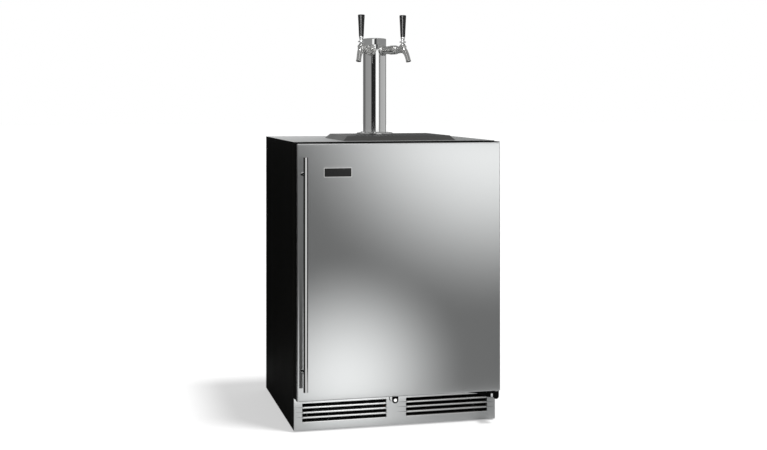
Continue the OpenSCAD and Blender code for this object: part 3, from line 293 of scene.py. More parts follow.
@dataclass(frozen=True)
class Finish:
    """A finish with fine clouds in its colour and gloss.

    Attributes:
        name: the material's name.
        slot: the record's slot; not used.
        colour, roughness: their means.
        metallic, specular, coat: the shader's even values.
        spread: how far the colour strays from its mean, as a share.
        grain, clouds: waves per metre of the fine and of the wide noise.
        grain_depth: depth of the fine noise in metres.
    """

    name: str
    slot: str
    colour: Colour
    roughness: float
    metallic: float = 0.0
    specular: float = 0.5
    coat: float = 0.0
    spread: float = 0.08
    grain: float = 900.0
    grain_depth: float = 0.00004
    clouds: float = 6.0

    def shade(self, factor: float) -> Colour:
        """Returns the colour made lighter or darker."""
        return tuple(min(1.0, part * factor) for part in self.colour)

    def tint(self, graph: Graph, share: Value) -> Value:
        """Returns the colour, which strays from dark to light with a share."""
        return graph.blend(share, self.shade(1 - self.spread), self.shade(1 + self.spread))

    def surface(self, graph: Graph, position: Value) -> Surface:
        """Works out what changes over the surface.

        Args:
            graph: the material's graph.
            position: Object coordinates.

        Returns:
            The clouded colour, roughness and normal.
        """
        cloud = graph.noise(position, self.clouds, 3.0)
        fine = graph.noise(position, self.grain, 2.0)
        return Surface(
            self.tint(graph, cloud * 0.7 + fine * 0.3),
            self.roughness + (cloud - 0.5) * 0.12 + (fine - 0.5) * 0.06,
            graph.bump(fine, 0.35, self.grain_depth),
        )

    def material(self) -> bpy.types.Material:
        """Makes the finish's material on the first call.

        Returns:
            The material.
        """
        known = bpy.data.materials.get(self.name)
        if known:
            return known
        made, graph = new_graph(self.name)
        over = self.surface(graph, graph.place())
        inputs = {
            "Base Color": over.colour,
            "Roughness": over.roughness,
            "Normal": over.normal,
            "Metallic": self.metallic,
            "Specular IOR Level": self.specular,
            "Coat Weight": self.coat,
            "Coat Roughness": 0.08,
        }
        shader = graph.node("ShaderNodeBsdfPrincipled", {}, inputs)
        graph.node("ShaderNodeOutputMaterial", {}, {"Surface": shader})
        return made


class Grain(Enum):
    """Direction in which a metal was brushed, as waves per metre along X, Y and Z."""

    ALONG_X = (5.0, 700.0, 700.0)
    ALONG_Z = (700.0, 700.0, 5.0)


@dataclass(frozen=True)
class Brushed(Finish):
    """Brushed steel: long fine scratches, and soft clouds where the brushing was uneven."""

    metallic: float = 1.0
    grain_along: Grain = Grain.ALONG_X
    scratch: float = 0.10

    def surface(self, graph: Graph, position: Value) -> Surface:
        """Works out what changes over the surface.

        Args:
            graph: the material's graph.
            position: Object coordinates.

        Returns:
            The streaked colour, roughness and normal.
        """
        streak = graph.noise(position, self.grain_along.value, 4.0)
        wide = graph.noise(position, tuple(part * 0.12 for part in self.grain_along.value), 2.0)
        cloud = graph.noise(position, self.clouds, 2.0)
        return Surface(
            self.tint(graph, streak * 0.45 + wide * 0.3 + cloud * 0.25),
            self.roughness + (streak - 0.5) * 0.10 + (cloud - 0.5) * 0.05,
            graph.bump(streak * 0.7 + wide * 0.3, self.scratch, 0.0002),
        )


@dataclass(frozen=True)
class Polished(Finish):
    """Polished plating: nearly a mirror, with faint wiping marks."""

    metallic: float = 1.0

    def surface(self, graph: Graph, position: Value) -> Surface:
        """Works out what changes over the surface.

        Args:
            graph: the material's graph.
            position: Object coordinates.

        Returns:
            The faintly smeared colour, roughness and normal.
        """
        smear = graph.noise(position, (30.0, 30.0, 9.0), 3.0)
        speck = graph.noise(position, 420.0, 2.0)
        return Surface(
            self.tint(graph, smear),
            self.roughness + smear * 0.05 + speck * 0.02,
            graph.bump(smear, 0.02, 0.0005),
        )


@dataclass(frozen=True)
class Cellular(Finish):
    """Cut foam: small open cells."""

    def surface(self, graph: Graph, position: Value) -> Surface:
        """Works out what changes over the surface.

        Args:
            graph: the material's graph.
            position: Object coordinates.

        Returns:
            The celled colour, roughness and normal.
        """
        inputs = {"Vector": position, "Scale": 380.0}
        cell = graph.node("ShaderNodeTexVoronoi", {"feature": "F1"}, inputs, out="Distance")
        cloud = graph.noise(position, 9.0, 3.0)
        return Surface(
            graph.blend(cell * 0.6 + cloud * 0.4, self.shade(1.1), self.shade(0.72)),
            self.roughness + (cloud - 0.5) * 0.1,
            graph.bump(cell, 0.6, 0.0012),
        )


@dataclass(frozen=True)
class Tarnished(Finish):
    """Bare metal with patches of tarnish."""

    metallic: float = 1.0
    tarnish: Colour = (0.1, 0.05, 0.03)

    def surface(self, graph: Graph, position: Value) -> Surface:
        """Works out what changes over the surface.

        Args:
            graph: the material's graph.
            position: Object coordinates.

        Returns:
            The patchy colour, roughness and normal.
        """
        patch = graph.noise(position, 45.0, 4.0)
        fine = graph.noise(position, 800.0, 2.0)
        share = graph.node("ShaderNodeMapRange", {}, {0: patch, 1: 0.45, 2: 0.8})
        return Surface(
            graph.blend(share, self.colour, self.tarnish),
            self.roughness + share * 0.3 + (fine - 0.5) * 0.08,
            graph.bump(fine, 0.2, 0.0001),
        )


@dataclass(frozen=True)
class Lens(Finish):
    """Diffuser of the cabinet light, with fine ribs along the bar."""

    def surface(self, graph: Graph, position: Value) -> Surface:
        """Works out what changes over the surface.

        Args:
            graph: the material's graph.
            position: Object coordinates.

        Returns:
            The ribbed colour, roughness and normal.
        """
        settings = {"wave_type": "BANDS", "bands_direction": "Y"}
        inputs = {"Vector": position, "Scale": 160.0, "Distortion": 0.0}
        rib = graph.node("ShaderNodeTexWave", settings, inputs, out="Fac")
        cloud = graph.noise(position, 20.0, 2.0)
        return Surface(
            graph.blend(cloud, self.shade(0.95), self.shade(1.0)),
            self.roughness + (rib - 0.5) * 0.1,
            graph.bump(rib, 0.3, 0.0003),
        )


@dataclass(frozen=True)
class Finishes:
    """Every finish of the dispenser: name, slot, colour, roughness and what else it needs."""

    enamel: Finish = Finish(
        "black_enamel", "black_steel", (0.0085, 0.0085, 0.008), 0.6, specular=0.012, grain=650.0
    )
    frame_black: Finish = Finish("door_edge_black", "black_steel", (0.005, 0.005, 0.005), 0.6, specular=0.02)
    base_grey: Finish = Finish("base_coating", "grey_steel", (0.045, 0.046, 0.047), 0.5, 0.3)
    casing: Finish = Finish("compressor_enamel", "compressor_paint", (0.010, 0.0105, 0.011), 0.28, coat=0.3)
    top: Finish = Brushed("brushed_top", "brushed_top", (0.68, 0.685, 0.675), 0.34, spread=0.05)
    door: Finish = Brushed("brushed_door", "brushed_door", (0.66, 0.665, 0.655), 0.28, spread=0.05)
    grille: Finish = Brushed("brushed_grille", "brushed_grille", (0.74, 0.745, 0.735), 0.30, spread=0.06)
    # the beads are the grille's steel made lighter and glossier: the lighter colour is painted highlight
    # along the slots
    bead: Finish = Brushed(
        "brushed_bead", "brushed_grille", (0.90, 0.905, 0.895), 0.16, spread=0.05, scratch=0.03
    )
    liner: Finish = Brushed(
        "liner_steel", "brushed_liner", (0.66, 0.67, 0.67), 0.36, spread=0.05, grain_along=Grain.ALONG_Z
    )
    handle: Finish = Brushed(
        "ground_handle",
        "handle_steel",
        (0.74, 0.745, 0.74),
        0.07,
        spread=0.05,
        grain_along=Grain.ALONG_Z,
        scratch=0.02,
    )
    zinc: Finish = Polished("bright_zinc", "bright_fasteners", (0.66, 0.67, 0.68), 0.16, spread=0.06)
    satin: Finish = Finish("satin_rim", "bright_fasteners", (0.80, 0.80, 0.79), 0.42, 0.35, spread=0.04)
    nickel: Finish = Polished("lock_nickel", "chrome", (0.95, 0.95, 0.94), 0.08, spread=0.03)
    chrome: Finish = Polished("chrome_plate", "chrome", (0.77, 0.775, 0.77), 0.035, spread=0.03)
    tap: Finish = Polished("tap_chrome", "chrome", (0.70, 0.70, 0.685), 0.2, spread=0.05)
    gloss: Finish = Finish(
        "black_gloss", "black_gloss", (0.001, 0.001, 0.0011), 0.09, specular=0.4, grain_depth=0.000004
    )
    tray: Finish = Finish("tray_grain", "tray_grey", (0.035, 0.035, 0.034), 0.36, grain=1400.0)
    grid: Finish = Finish("grid_grain", "grid_grey", (0.05, 0.051, 0.053), 0.48, grain=1400.0, specular=0.35)
    black_plastic: Finish = Finish(
        "black_plastic", "black_plastic", (0.008, 0.008, 0.008), 0.42, grain=1500.0
    )
    foot: Finish = Finish("foot_zinc", "foot_steel", (0.10, 0.10, 0.098), 0.38, 0.7, clouds=60.0, spread=0.2)
    white: Finish = Finish(
        "white_plastic", "white_plastic", (0.74, 0.75, 0.745), 0.38, spread=0.03, grain=1500.0
    )
    tube: Finish = Finish("milky_tube", "clear_line", (0.72, 0.75, 0.75), 0.22, spread=0.04)
    rubber: Finish = Finish(
        "gasket_rubber", "gasket_rubber", (0.022, 0.022, 0.023), 0.62, specular=0.3, grain=1800.0
    )
    fins: Finish = Finish(
        "black_fins", "fin_aluminium", (0.012, 0.012, 0.013), 0.42, 0.4, clouds=40.0, spread=0.25
    )
    bare_fins: Finish = Finish("bare_fins", "fin_aluminium", (0.6, 0.61, 0.62), 0.34, 1.0, clouds=50.0)
    copper: Finish = Tarnished("bare_copper", "copper", (0.62, 0.29, 0.16), 0.24)
    brass: Finish = Tarnished(
        "turned_brass", "tail_brass", (0.66, 0.50, 0.22), 0.22, tarnish=(0.3, 0.2, 0.07)
    )
    foam: Finish = Cellular("cut_foam", "foam", (0.72, 0.62, 0.40), 0.85, specular=0.2)
    lens: Finish = Lens("light_diffuser", "white_plastic", (0.86, 0.86, 0.83), 0.3)


FINISH = Finishes()


class Rounded(Enum):
    """What a bevel rounds."""

    EDGES = "EDGES"
    CORNERS = "VERTICES"


class Form:
    """A mesh in the making."""

    def __init__(self) -> None:
        """Starts with nothing."""
        self.mesh = bmesh.new()

    @contextmanager
    def placed(self, at: Matrix) -> Iterator[None]:
        """Merges, turns outwards and places what is added inside the with block.

        Args:
            at: where the shape goes.

        Yields:
            Nothing.
        """
        before = set(self.mesh.verts)
        yield
        fresh = [v for v in self.mesh.verts if v not in before]
        bmesh.ops.remove_doubles(self.mesh, verts=fresh, dist=MERGE)
        fresh = [v for v in self.mesh.verts if v not in before]
        bmesh.ops.recalc_face_normals(self.mesh, faces=list({f for v in fresh for f in v.link_faces}))
        bmesh.ops.transform(self.mesh, matrix=at, verts=fresh)

    def bevel(
        self,
        geom: Sequence[bmesh.types.BMVert | bmesh.types.BMEdge],
        width: float,
        segments: int,
        what: Rounded = Rounded.EDGES,
        slide: bool = False,
    ) -> list[bmesh.types.BMVert]:
        """Rounds edges or corners.

        Args:
            geom: the edges or corners.
            width: the rounding's size in millimetres.
            segments: facets over the rounding.
            what: whether edges or corners are rounded.
            slide: whether new points slide along the edges beside them.

        Returns:
            The new points.
        """
        made = bmesh.ops.bevel(
            self.mesh,
            geom=geom,
            offset=width * MM,
            offset_type="OFFSET",
            segments=segments,
            profile=0.5,
            affect=what.value,
            material=-1,
            clamp_overlap=True,
            loop_slide=slide,
        )
        return made["verts"]

    def lathe(
        self,
        profile: Profile,
        at: Matrix,
        steps: int = 64,
        rounding: float = 0.0,
        closed: bool = False,
    ) -> None:
        """Turns a profile about the local Z axis.

        Args:
            profile: radius and height of its points, in millimetres.
            at: where the axis goes.
            steps: facets round the axis.
            rounding: radius of the profile's corners, in millimetres.
            closed: whether the profile's last point joins its first, as in a ring.
        """
        with self.placed(at):
            wire = [self.mesh.verts.new((radius * MM, 0.0, height * MM)) for radius, height in profile]
            pairs = zip(wire, wire[1:] + wire[:1] if closed else wire[1:])
            edges = [self.mesh.edges.new(pair) for pair in pairs]
            if rounding:
                made = self.bevel(wire if closed else wire[1:-1], rounding, 3, Rounded.CORNERS)
                wire = list({*made, *(v for v in wire if v.is_valid)})
                edges = list({e for v in wire for e in v.link_edges})
            bmesh.ops.spin(
                self.mesh,
                geom=[*wire, *edges],
                cent=(0.0, 0.0, 0.0),
                axis=(0.0, 0.0, 1.0),
                dvec=(0.0, 0.0, 0.0),
                angle=math.tau,
                steps=steps,
                use_merge=True,
                use_duplicate=False,
            )

    def block(self, low: Vector, high: Vector) -> None:
        """Adds a box between two corners."""
        at = Matrix.Translation((low + high) / 2) @ Matrix.Diagonal((*(high - low), 1.0))
        bmesh.ops.create_cube(self.mesh, size=1.0, matrix=at)

    def plate(self, outline: Profile, y: float) -> bmesh.types.BMFace:
        """Adds an upright face from the x and z of its corners and returns it."""
        return self.mesh.faces.new([self.mesh.verts.new(spot(x, y, z)) for x, z in outline])

    def move_back(self, geom: Sequence[object], depth: float) -> None:
        """Moves the points of what an extrusion made backwards by a depth."""
        moved = [v for v in geom if isinstance(v, bmesh.types.BMVert)]
        bmesh.ops.translate(self.mesh, verts=moved, vec=(0.0, depth * MM, 0.0))

    def copy(self, node: str) -> None:
        """Takes over a solid's mesh, merged and with its flat faces whole.

        Args:
            node: the CAD node.
        """
        self.mesh.from_mesh(frame["nodes"][node].data)
        bmesh.ops.remove_doubles(self.mesh, verts=self.mesh.verts[:], dist=MERGE)
        bmesh.ops.dissolve_limit(
            self.mesh,
            angle_limit=math.radians(0.4),
            use_dissolve_boundaries=False,
            verts=self.mesh.verts[:],
            edges=self.mesh.edges[:],
            delimit=set(),
        )

    def round_edges(self, width: float, segments: int = 3, over: float = 32.0) -> None:
        """Rounds the sharp edges.

        Args:
            width: the rounding's size in millimetres.
            segments: facets over the rounding.
            over: the angle between faces, in degrees, above which an edge is sharp.
        """
        limit = math.radians(over)
        sharp = [e for e in self.mesh.edges if e.is_manifold and e.calc_face_angle(0.0) > limit]
        self.bevel(sharp, width, segments, slide=True)

    def rings(self, loops: Sequence[Sequence[Vector]]) -> None:
        """Joins closed loops of equal length one to the next, and the last to the first.

        Args:
            loops: the corners of each loop.
        """
        with self.placed(Matrix.Identity(4)):
            made = []
            for loop in loops:
                verts = [self.mesh.verts.new(corner) for corner in loop]
                made.append([self.mesh.edges.new(pair) for pair in zip(verts, verts[1:] + verts[:1])])
            for one, other in zip(made, made[1:] + made[:1]):
                bmesh.ops.bridge_loops(self.mesh, edges=[*one, *other])

    def made(self, name: str, *materials: bpy.types.Material) -> bpy.types.Object:
        """Turns the mesh into an object of the scene, and uses it up.

        Args:
            name: the object's name.
            materials: its materials, in the order of the faces' indices.

        Returns:
            The object.
        """
        mesh = bpy.data.meshes.new(name)
        self.mesh.to_mesh(mesh)
        self.mesh.free()
        for material in materials:
            mesh.materials.append(material)
        item = bpy.data.objects.new(name, mesh)
        bpy.context.scene.collection.objects.link(item)
        return item


class Workshop:
    """Turns forms into finished pieces and dresses the solids."""

    def __init__(self) -> None:
        """Starts with no pieces."""
        self.count = 0

    def piece(
        self,
        name: str,
        form: Form,
        finish: Finish,
        body: str,
        replaces: Sequence[str] = (),
        second: Finish | None = None,
        sheet: float = 0.0,
        sharp: float = 40.0,
    ) -> None:
        """Makes an object from a form.

        Args:
            name: the piece's name.
            form: its mesh, which is used up.
            finish: its finish.
            body: the body that it moves with.
            replaces: CAD nodes that it stands for.
            second: the finish of faces with index 1.
            sheet: thickness that an open sheet gets inwards, in millimetres.
            sharp: angle in degrees above which an edge stays sharp in the shading.
        """
        finishes = [finish, second] if second else [finish]
        made = form.made(name, *(each.material() for each in finishes))
        made.data.shade_smooth()
        made.data.set_sharp_from_angle(angle=math.radians(sharp))
        if sheet:
            wall = made.modifiers.new("wall", "SOLIDIFY")
            wall.thickness = sheet * MM
            wall.offset = -1.0
        normals = made.modifiers.new("normals", "WEIGHTED_NORMAL")
        normals.keep_sharp = True
        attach(made, body)
        if replaces:
            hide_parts(*replaces)
        self.count += 1
        LOG.info("piece %s on %s in %s", name, body, finish.name)

    def soften(
        self, node: str, finish: Finish, width: float, segments: int = 3, over: float = 32.0
    ) -> None:
        """Stands a copy of a solid with rounded edges in for it.

        Args:
            node: the CAD node.
            finish: the copy's finish.
            width: size of the rounding in millimetres.
            segments: facets over the rounding.
            over: angle in degrees above which an edge is rounded.
        """
        form = Form()
        form.copy(node)
        form.round_edges(width, segments, over)
        body = frame["nodes"][node]["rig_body"]
        self.piece(node + "_rounded", form, finish, body, replaces=[node])

    def dress(self, finish: Finish, *nodes: str) -> None:
        """Gives solids a finish.

        Args:
            finish: the finish.
            nodes: the CAD nodes.
        """
        for node in nodes:
            for slot in frame["nodes"][node].material_slots:
                slot.material = finish.material()
            LOG.info("solid %s in %s", node, finish.name)


SHOP = Workshop()


@dataclass(frozen=True)
class Screw:
    """Pan head screw with a round socket, standing on a face.

    Attributes:
        head, rise: radius and height of the head.
        profile: its points, as shares of both.
        sunk: how far it reaches into the face.
    """

    head: float = 4.2
    rise: float = 2.5
    profile: Profile = ((0, 0.35), (0.36, 0.42), (0.4, 1), (0.62, 1), (0.9, 0.66), (1, 0.2))
    sunk: float = 0.4

    def add(self, form: Form, at: Matrix) -> None:
        """Adds the head to a form, with Z out of the face."""
        points = [(across * self.head, up * self.rise) for across, up in self.profile]
        form.lathe([*points, (self.head, -self.sunk)], at, steps=20)


@dataclass
class Cabinet:
    """Outer shell, base, feet and the machines under and behind the cold space."""

    rear_screw: Screw = Screw(4.0, 2.2)
    rear_screw_x: float = 291.0
    rear_screw_z: tuple[float, ...] = (40.0, 230.0, 420.0, 610.0, 800.0)
    depth: float = 547.0
    top_edge: float = 0.5

    def build(self) -> None:
        """Dresses the shell and the machines and adds the rear panel's screws."""
        SHOP.dress(FINISH.enamel, "side_panels", "rear_panel", "face_frame")
        self._top()
        SHOP.dress(FINISH.base_grey, "base_frame", "fan_motors")
        SHOP.dress(FINISH.foam, "foam_insulation", "door_core", "tower_sleeve")
        SHOP.dress(FINISH.liner, "inner_liner")
        SHOP.dress(FINISH.rubber, "compressor_mounts")
        SHOP.dress(FINISH.fins, "condenser_coil")
        SHOP.dress(FINISH.bare_fins, "evaporator_coil")
        SHOP.dress(FINISH.copper, "refrigerant_lines")
        SHOP.dress(FINISH.black_plastic, "condenser_fan")
        SHOP.soften("compressor", FINISH.casing, 2.0, over=20.0)
        SHOP.soften("power_gland", FINISH.black_plastic, 0.8)
        for foot in ("foot_front_left", "foot_front_right", "foot_rear_left", "foot_rear_right"):
            SHOP.soften(foot, FINISH.foot, 0.4)
        self._rear_screws()

    def _top(self) -> None:
        """Rounds the top's edges and gives its upright faces the black enamel."""
        form = Form()
        form.copy("top_panel")
        form.round_edges(self.top_edge)
        # the upright faces, front lip among them, take the black enamel and read dark
        for face in form.mesh.faces:
            face.material_index = int(abs(face.normal.z) < 0.5)
        SHOP.piece("top_panel_trimmed", form, FINISH.top, "cabinet", ["top_panel"], FINISH.enamel)

    def _rear_screws(self) -> None:
        """Adds the screws that hold the rear panel."""
        form = Form()
        for x in (-self.rear_screw_x, self.rear_screw_x):
            for z in self.rear_screw_z:
                self.rear_screw.add(form, facing(spot(x, self.depth, z), (0, 1, 0)))
        SHOP.piece("rear_panel_screws", form, FINISH.zinc, "cabinet")


@dataclass
class Grille:
    """Kick grille: one folded sheet with rolled slots, a notch for the lock and one for the hinge.

    Attributes:
        half: half its width.
        low, high: its lower and upper edge.
        front: how far it stands in front of the cabinet's face.
        slot_x, slot_z: ends of the slots on each side, and their middles.
        lip: depth of the slots' folded rims.
        fold, corner: rounding of the folds and of the outline's corners.
        bead: radius of the rolled bead under each slot.
    """

    half: float = 303.0
    low: float = 6.0
    high: float = 97.0
    front: float = -4.4
    slot_x: Pair = (30.0, 278.0)
    slot_z: tuple[float, ...] = (35.0, 49.33, 63.67, 78.0)
    slot_half: float = 5.6
    slot_round: float = 2.4
    corner: float = 0.9
    lip: float = 6.5
    fold: float = 0.6
    bead: float = 2.0
    lock_x: float = -11.0
    lock_half: float = 9.9
    lock_z: float = 74.5
    hinge_x: float = 246.0
    hinge_z: float = 85.5
    sheet: float = 1.2

    def build(self) -> None:
        """Cuts, folds and rounds the sheet."""
        form = Form()
        form.plate(rectangle((-self.half, self.half), (self.low, self.high)), self.front)
        self._cut(form)
        rims = [e for e in form.mesh.edges if e.is_boundary]
        lips = [e for e in rims if self._inside_slot(edge_middle(e), 0.1)]
        outline = [e for e in rims if e not in lips]
        for edges, depth in ((lips, self.lip), (outline, -self.front)):
            form.move_back(bmesh.ops.extrude_edge_only(form.mesh, edges=edges)["geom"], depth)
        self._round(form)
        bmesh.ops.recalc_face_normals(form.mesh, faces=form.mesh.faces[:])
        front = max(form.mesh.faces, key=lambda face: face.calc_area())
        if front.normal.y > 0:
            bmesh.ops.reverse_faces(form.mesh, faces=form.mesh.faces[:])
        SHOP.piece("kick_grille", form, FINISH.grille, "cabinet", ["front_grille"], sheet=self.sheet)
        self._beads()

    def _inside_slot(self, at: Vector, margin: float = 0.0) -> bool:
        """Tells whether a point lies in a slot grown by a margin."""
        along = self.slot_x[0] - margin <= abs(at.x) <= self.slot_x[1] + margin
        return along and any(abs(at.z - level) <= self.slot_half + margin for level in self.slot_z)

    def _cut_away(self, at: Vector) -> bool:
        """Tells whether a point lies in a slot or a notch.

        Args:
            at: the point in millimetres.

        Returns:
            Whether it does.
        """
        lock = abs(at.x - self.lock_x) < self.lock_half and at.z > self.lock_z
        hinge = at.x > self.hinge_x and at.z > self.hinge_z
        return lock or hinge or self._inside_slot(at)

    def _planes(self) -> list[tuple[Vector, Vector]]:
        """Works out the planes that divide the sheet.

        Returns:
            A point and the normal of each.
        """
        xs = [side * edge for side in (-1, 1) for edge in self.slot_x]
        xs += [self.lock_x - self.lock_half, self.lock_x + self.lock_half, self.hinge_x]
        zs = [level + side * self.slot_half for level in self.slot_z for side in (-1, 1)]
        planes = [(spot(x, 0, 0), Vector((1, 0, 0))) for x in xs]
        return planes + [(spot(0, 0, z), Vector((0, 0, 1))) for z in (*zs, self.lock_z, self.hinge_z)]

    def _cut(self, form: Form) -> None:
        """Takes the slots and notches out of the sheet.

        Args:
            form: the whole sheet.
        """
        for point, normal in self._planes():
            whole = [*form.mesh.verts, *form.mesh.edges, *form.mesh.faces]
            bmesh.ops.bisect_plane(form.mesh, geom=whole, plane_co=point, plane_no=normal, dist=1e-7)
        gone = [face for face in form.mesh.faces if self._cut_away(face.calc_center_median() / MM)]
        bmesh.ops.delete(form.mesh, geom=gone, context="FACES")

    def _round(self, form: Form) -> None:
        """Rounds the slots' ends, the lock notch, the outline's corners and every fold.

        Args:
            form: the folded sheet.
        """
        slots, notches, corners = [], [], []
        for edge in form.mesh.edges:
            step = edge.verts[0].co - edge.verts[1].co
            if abs(step.y) < 1e-5 or edge.calc_face_angle(0.0) < 1.0:
                continue
            at = edge_middle(edge)
            notch = abs(at.x - self.lock_x) < self.lock_half + 1 and abs(at.z - self.lock_z) < 1
            outer = abs(at.x) > self.half - 1
            (notches if notch else corners if outer else slots).append(edge)
        form.bevel(notches, self.lock_half * 0.96, 8)
        form.bevel(slots, self.slot_round, 4)
        form.bevel(corners, self.corner, 3)
        form.round_edges(self.fold, 4, over=50.0)

    def _beads(self) -> None:
        """Adds the rolled bead along the lower edge of each slot."""
        form = Form()
        r = self.bead
        start = self.slot_x[0] + self.slot_round
        length = self.slot_x[1] - self.slot_round - start
        profile = [(0, 0), (r, 0), (r, length), (0, length)]
        for side in (-1, 1):
            for level in self.slot_z:
                at = spot(side * start, self.front + r * 0.85, level - self.slot_half - r * 0.8)
                form.lathe(profile, facing(at, (side, 0, 0)), steps=32, rounding=r * 0.6)
        # their finish is the grille's steel made lighter: painted highlight
        SHOP.piece("slot_beads", form, FINISH.bead, "cabinet")


@dataclass
class Door:
    """Stainless skin, frame, gasket, inner panel and the bare badge plate.

    Attributes:
        half, low, high: half the door's width, and its lower and upper edge.
        front, skin_back: y of the skin's face and of its folded rim's end.
        seal_profile: the gasket's points, as the distance inwards from its outline and y.
    """

    half: float = 302.0
    low: float = 100.0
    high: float = 830.4
    front: float = -58.0
    skin_back: float = -50.0
    skin: float = 1.2
    edge: float = 3.6
    seal_half: float = 288.0
    seal_z: Pair = (110.0, 820.4)
    seal_profile: Profile = (
        (1.0, -14.0), (21.0, -14.0), (21.4, -12.2), (16.5, -10.8), (20.5, -9.0), (17.5, -7.2),
        (21.0, -5.6), (21.6, -1.6), (20.2, -0.4), (1.8, -0.4), (0.4, -1.6), (1.0, -5.6),
        (4.5, -7.2), (1.5, -9.0), (5.5, -10.8), (0.6, -12.2),
    )

    def build(self) -> None:
        """Builds the skin and the gasket and dresses the rest."""
        self._skin()
        self._gasket()
        SHOP.soften("door_frame", FINISH.frame_black, 0.7)
        SHOP.soften("door_liner", FINISH.white, 1.6)
        SHOP.dress(FINISH.white, "hinge_bushes")
        SHOP.soften("badge_bezel", FINISH.satin, 0.45)
        SHOP.soften("badge_inlay", FINISH.gloss, 0.25)

    def _skin(self) -> None:
        """Builds the folded skin, an open pan with rounded edges."""
        form = Form()
        form.block(spot(-self.half, self.front, self.low), spot(self.half, self.skin_back, self.high))
        back = [f for f in form.mesh.faces if f.normal.y > 0.5]
        bmesh.ops.delete(form.mesh, geom=back, context="FACES")
        form.round_edges(self.edge, 6)
        SHOP.piece("door_skin_folded", form, FINISH.door, "door", ["door_skin"], sheet=self.skin)

    def _gasket(self) -> None:
        """Builds the gasket's bellows round the door."""
        form = Form()
        loops = []
        for inset, y in self.seal_profile:
            half = self.seal_half - inset
            corners = rectangle((-half, half), (self.seal_z[0] + inset, self.seal_z[1] - inset))
            loops.append([spot(x, y, z) for x, z in corners])
        form.rings(loops)
        form.round_edges(0.3, 2, over=30.0)
        SHOP.piece("gasket_bellows", form, FINISH.rubber, "door", ["door_gasket"])


@dataclass
class Handle:
    """Round bar on two posts.

    Attributes:
        x, y: place of the bar's axis.
        ends: z of the bar's ends.
        posts: z of the posts.
        collar: how far a post's collar on the door stands out round it.
        screw, screw_depth: radius and depth of the screw behind it.
    """

    x: float = -287.0
    y: float = -110.0
    ends: Pair = (139.0, 795.0)
    radius: float = 6.5
    posts: Pair = (189.0, 745.0)
    post_radius: float = 4.5
    collar: float = 1.3
    screw: float = 2.4
    screw_depth: float = 11.0
    door_front: float = -58.0

    def build(self) -> None:
        """Turns the bar and the posts."""
        low, high = self.ends
        bar = Form()
        profile = [(0, 0), (self.radius, 0), (self.radius, high - low), (0, high - low)]
        bar.lathe(profile, Matrix.Translation(spot(self.x, self.y, low)), steps=48, rounding=0.9)
        SHOP.piece("handle_bar_turned", bar, FINISH.handle, "door", ["handle_bar"])
        posts = Form()
        r, wide, deep = self.post_radius, self.post_radius + self.collar, -self.screw_depth
        end = self.door_front - self.y - 1
        profile = [(0, deep), (self.screw, deep), (self.screw, 0.05), (wide, 0.05), (wide, 1.6), (r, 2.6)]
        profile += [(r, end), (0, end)]
        for z in self.posts:
            at = facing(spot(self.x, self.door_front, z), (0, -1, 0))
            posts.lathe(profile, at, steps=32, rounding=0.35)
        SHOP.piece("handle_posts_turned", posts, FINISH.handle, "door", ["handle_posts"])


@dataclass
class HingesAndLock:
    """Hinge plate and arm, their pins and bolts, and the lock.

    Attributes:
        lock: x and z of the lock's axis.
        lock_front: y of the housing's front.
        rim: how far the barrel stands out of it.
        face, bezel: radius of the barrel's bright face and of the bezel round it.
        leaf: outline of the leaf that holds the lower hinge arm on the grille.
        leaf_bolt: x and z of its bolt.
    """

    lock: Pair = (-11.0, 85.0)
    lock_front: float = -36.0
    face: float = 4.9
    bezel: float = 7.0
    rim: float = 2.0
    leaf: Profile = (
        (212.0, 96.8), (212.0, 88.5), (246.0, 84.0), (262.0, 76.0),
        (290.0, 69.0), (302.0, 69.0), (302.0, 96.8),
    )
    leaf_front: float = -7.2
    leaf_sheet: float = 2.4
    leaf_bolt: Pair = (294.4, 75.6)

    def build(self) -> None:
        """Rounds and dresses the hinge and lock pieces."""
        SHOP.soften("hinge_brackets", FINISH.frame_black, 0.5)
        SHOP.soften("hinge_hardware", FINISH.zinc, 0.5)
        self._leaf()
        self._housing()
        SHOP.soften("lock_barrel", FINISH.nickel, 0.3)
        self._bezel()
        SHOP.dress(FINISH.zinc, "lock_bolt")

    def _leaf(self) -> None:
        """Adds the leaf of the lower hinge arm and its bolt."""
        form = Form()
        with form.placed(Matrix.Identity(4)):
            face = form.plate(self.leaf, self.leaf_front)
            made = bmesh.ops.extrude_face_region(form.mesh, geom=[face])["geom"]
            form.move_back(made, self.leaf_sheet)
        form.round_edges(0.6)
        SHOP.piece("hinge_arm_leaf", form, FINISH.frame_black, "cabinet")
        form = Form()
        x, z = self.leaf_bolt
        Screw().add(form, facing(spot(x, self.leaf_front, z), (0, -1, 0)))
        SHOP.piece("hinge_leaf_bolt", form, FINISH.nickel, "cabinet")

    def _housing(self) -> None:
        """Rounds the lock's housing: a bright shell with a black front."""
        form = Form()
        form.copy("lock_housing")
        form.round_edges(0.6)
        edge = spot(0, self.lock_front + 1.0, 0).y
        for face in form.mesh.faces:
            face.material_index = int(face.calc_center_median().y > edge)
        SHOP.piece(
            "lock_housing_capped", form, FINISH.frame_black, "cabinet", ["lock_housing"], FINISH.nickel
        )

    def _bezel(self) -> None:
        """Adds the black bezel round the barrel's bright face."""
        form = Form()
        inner, outer = self.face, self.bezel
        ring = [(inner, -0.2), (outer, -0.2), (outer, 0.5), (outer - 0.4, 0.9)]
        ring += [(inner + 0.4, 0.9), (inner, 0.5)]
        x, z = self.lock
        form.lathe(ring, facing(spot(x, self.lock_front - self.rim, z), (0, -1, 0)), closed=True)
        SHOP.piece("lock_bezel", form, FINISH.frame_black, "lock_cylinder")


@dataclass
class DripTray:
    """Platform under the tower with its basin and grid."""

    edge: float = 1.6

    def build(self) -> None:
        """Rounds the platform and dresses the grid."""
        SHOP.soften("drip_tray", FINISH.tray, self.edge, 4, over=25.0)
        SHOP.dress(FINISH.grid, "drip_grid")


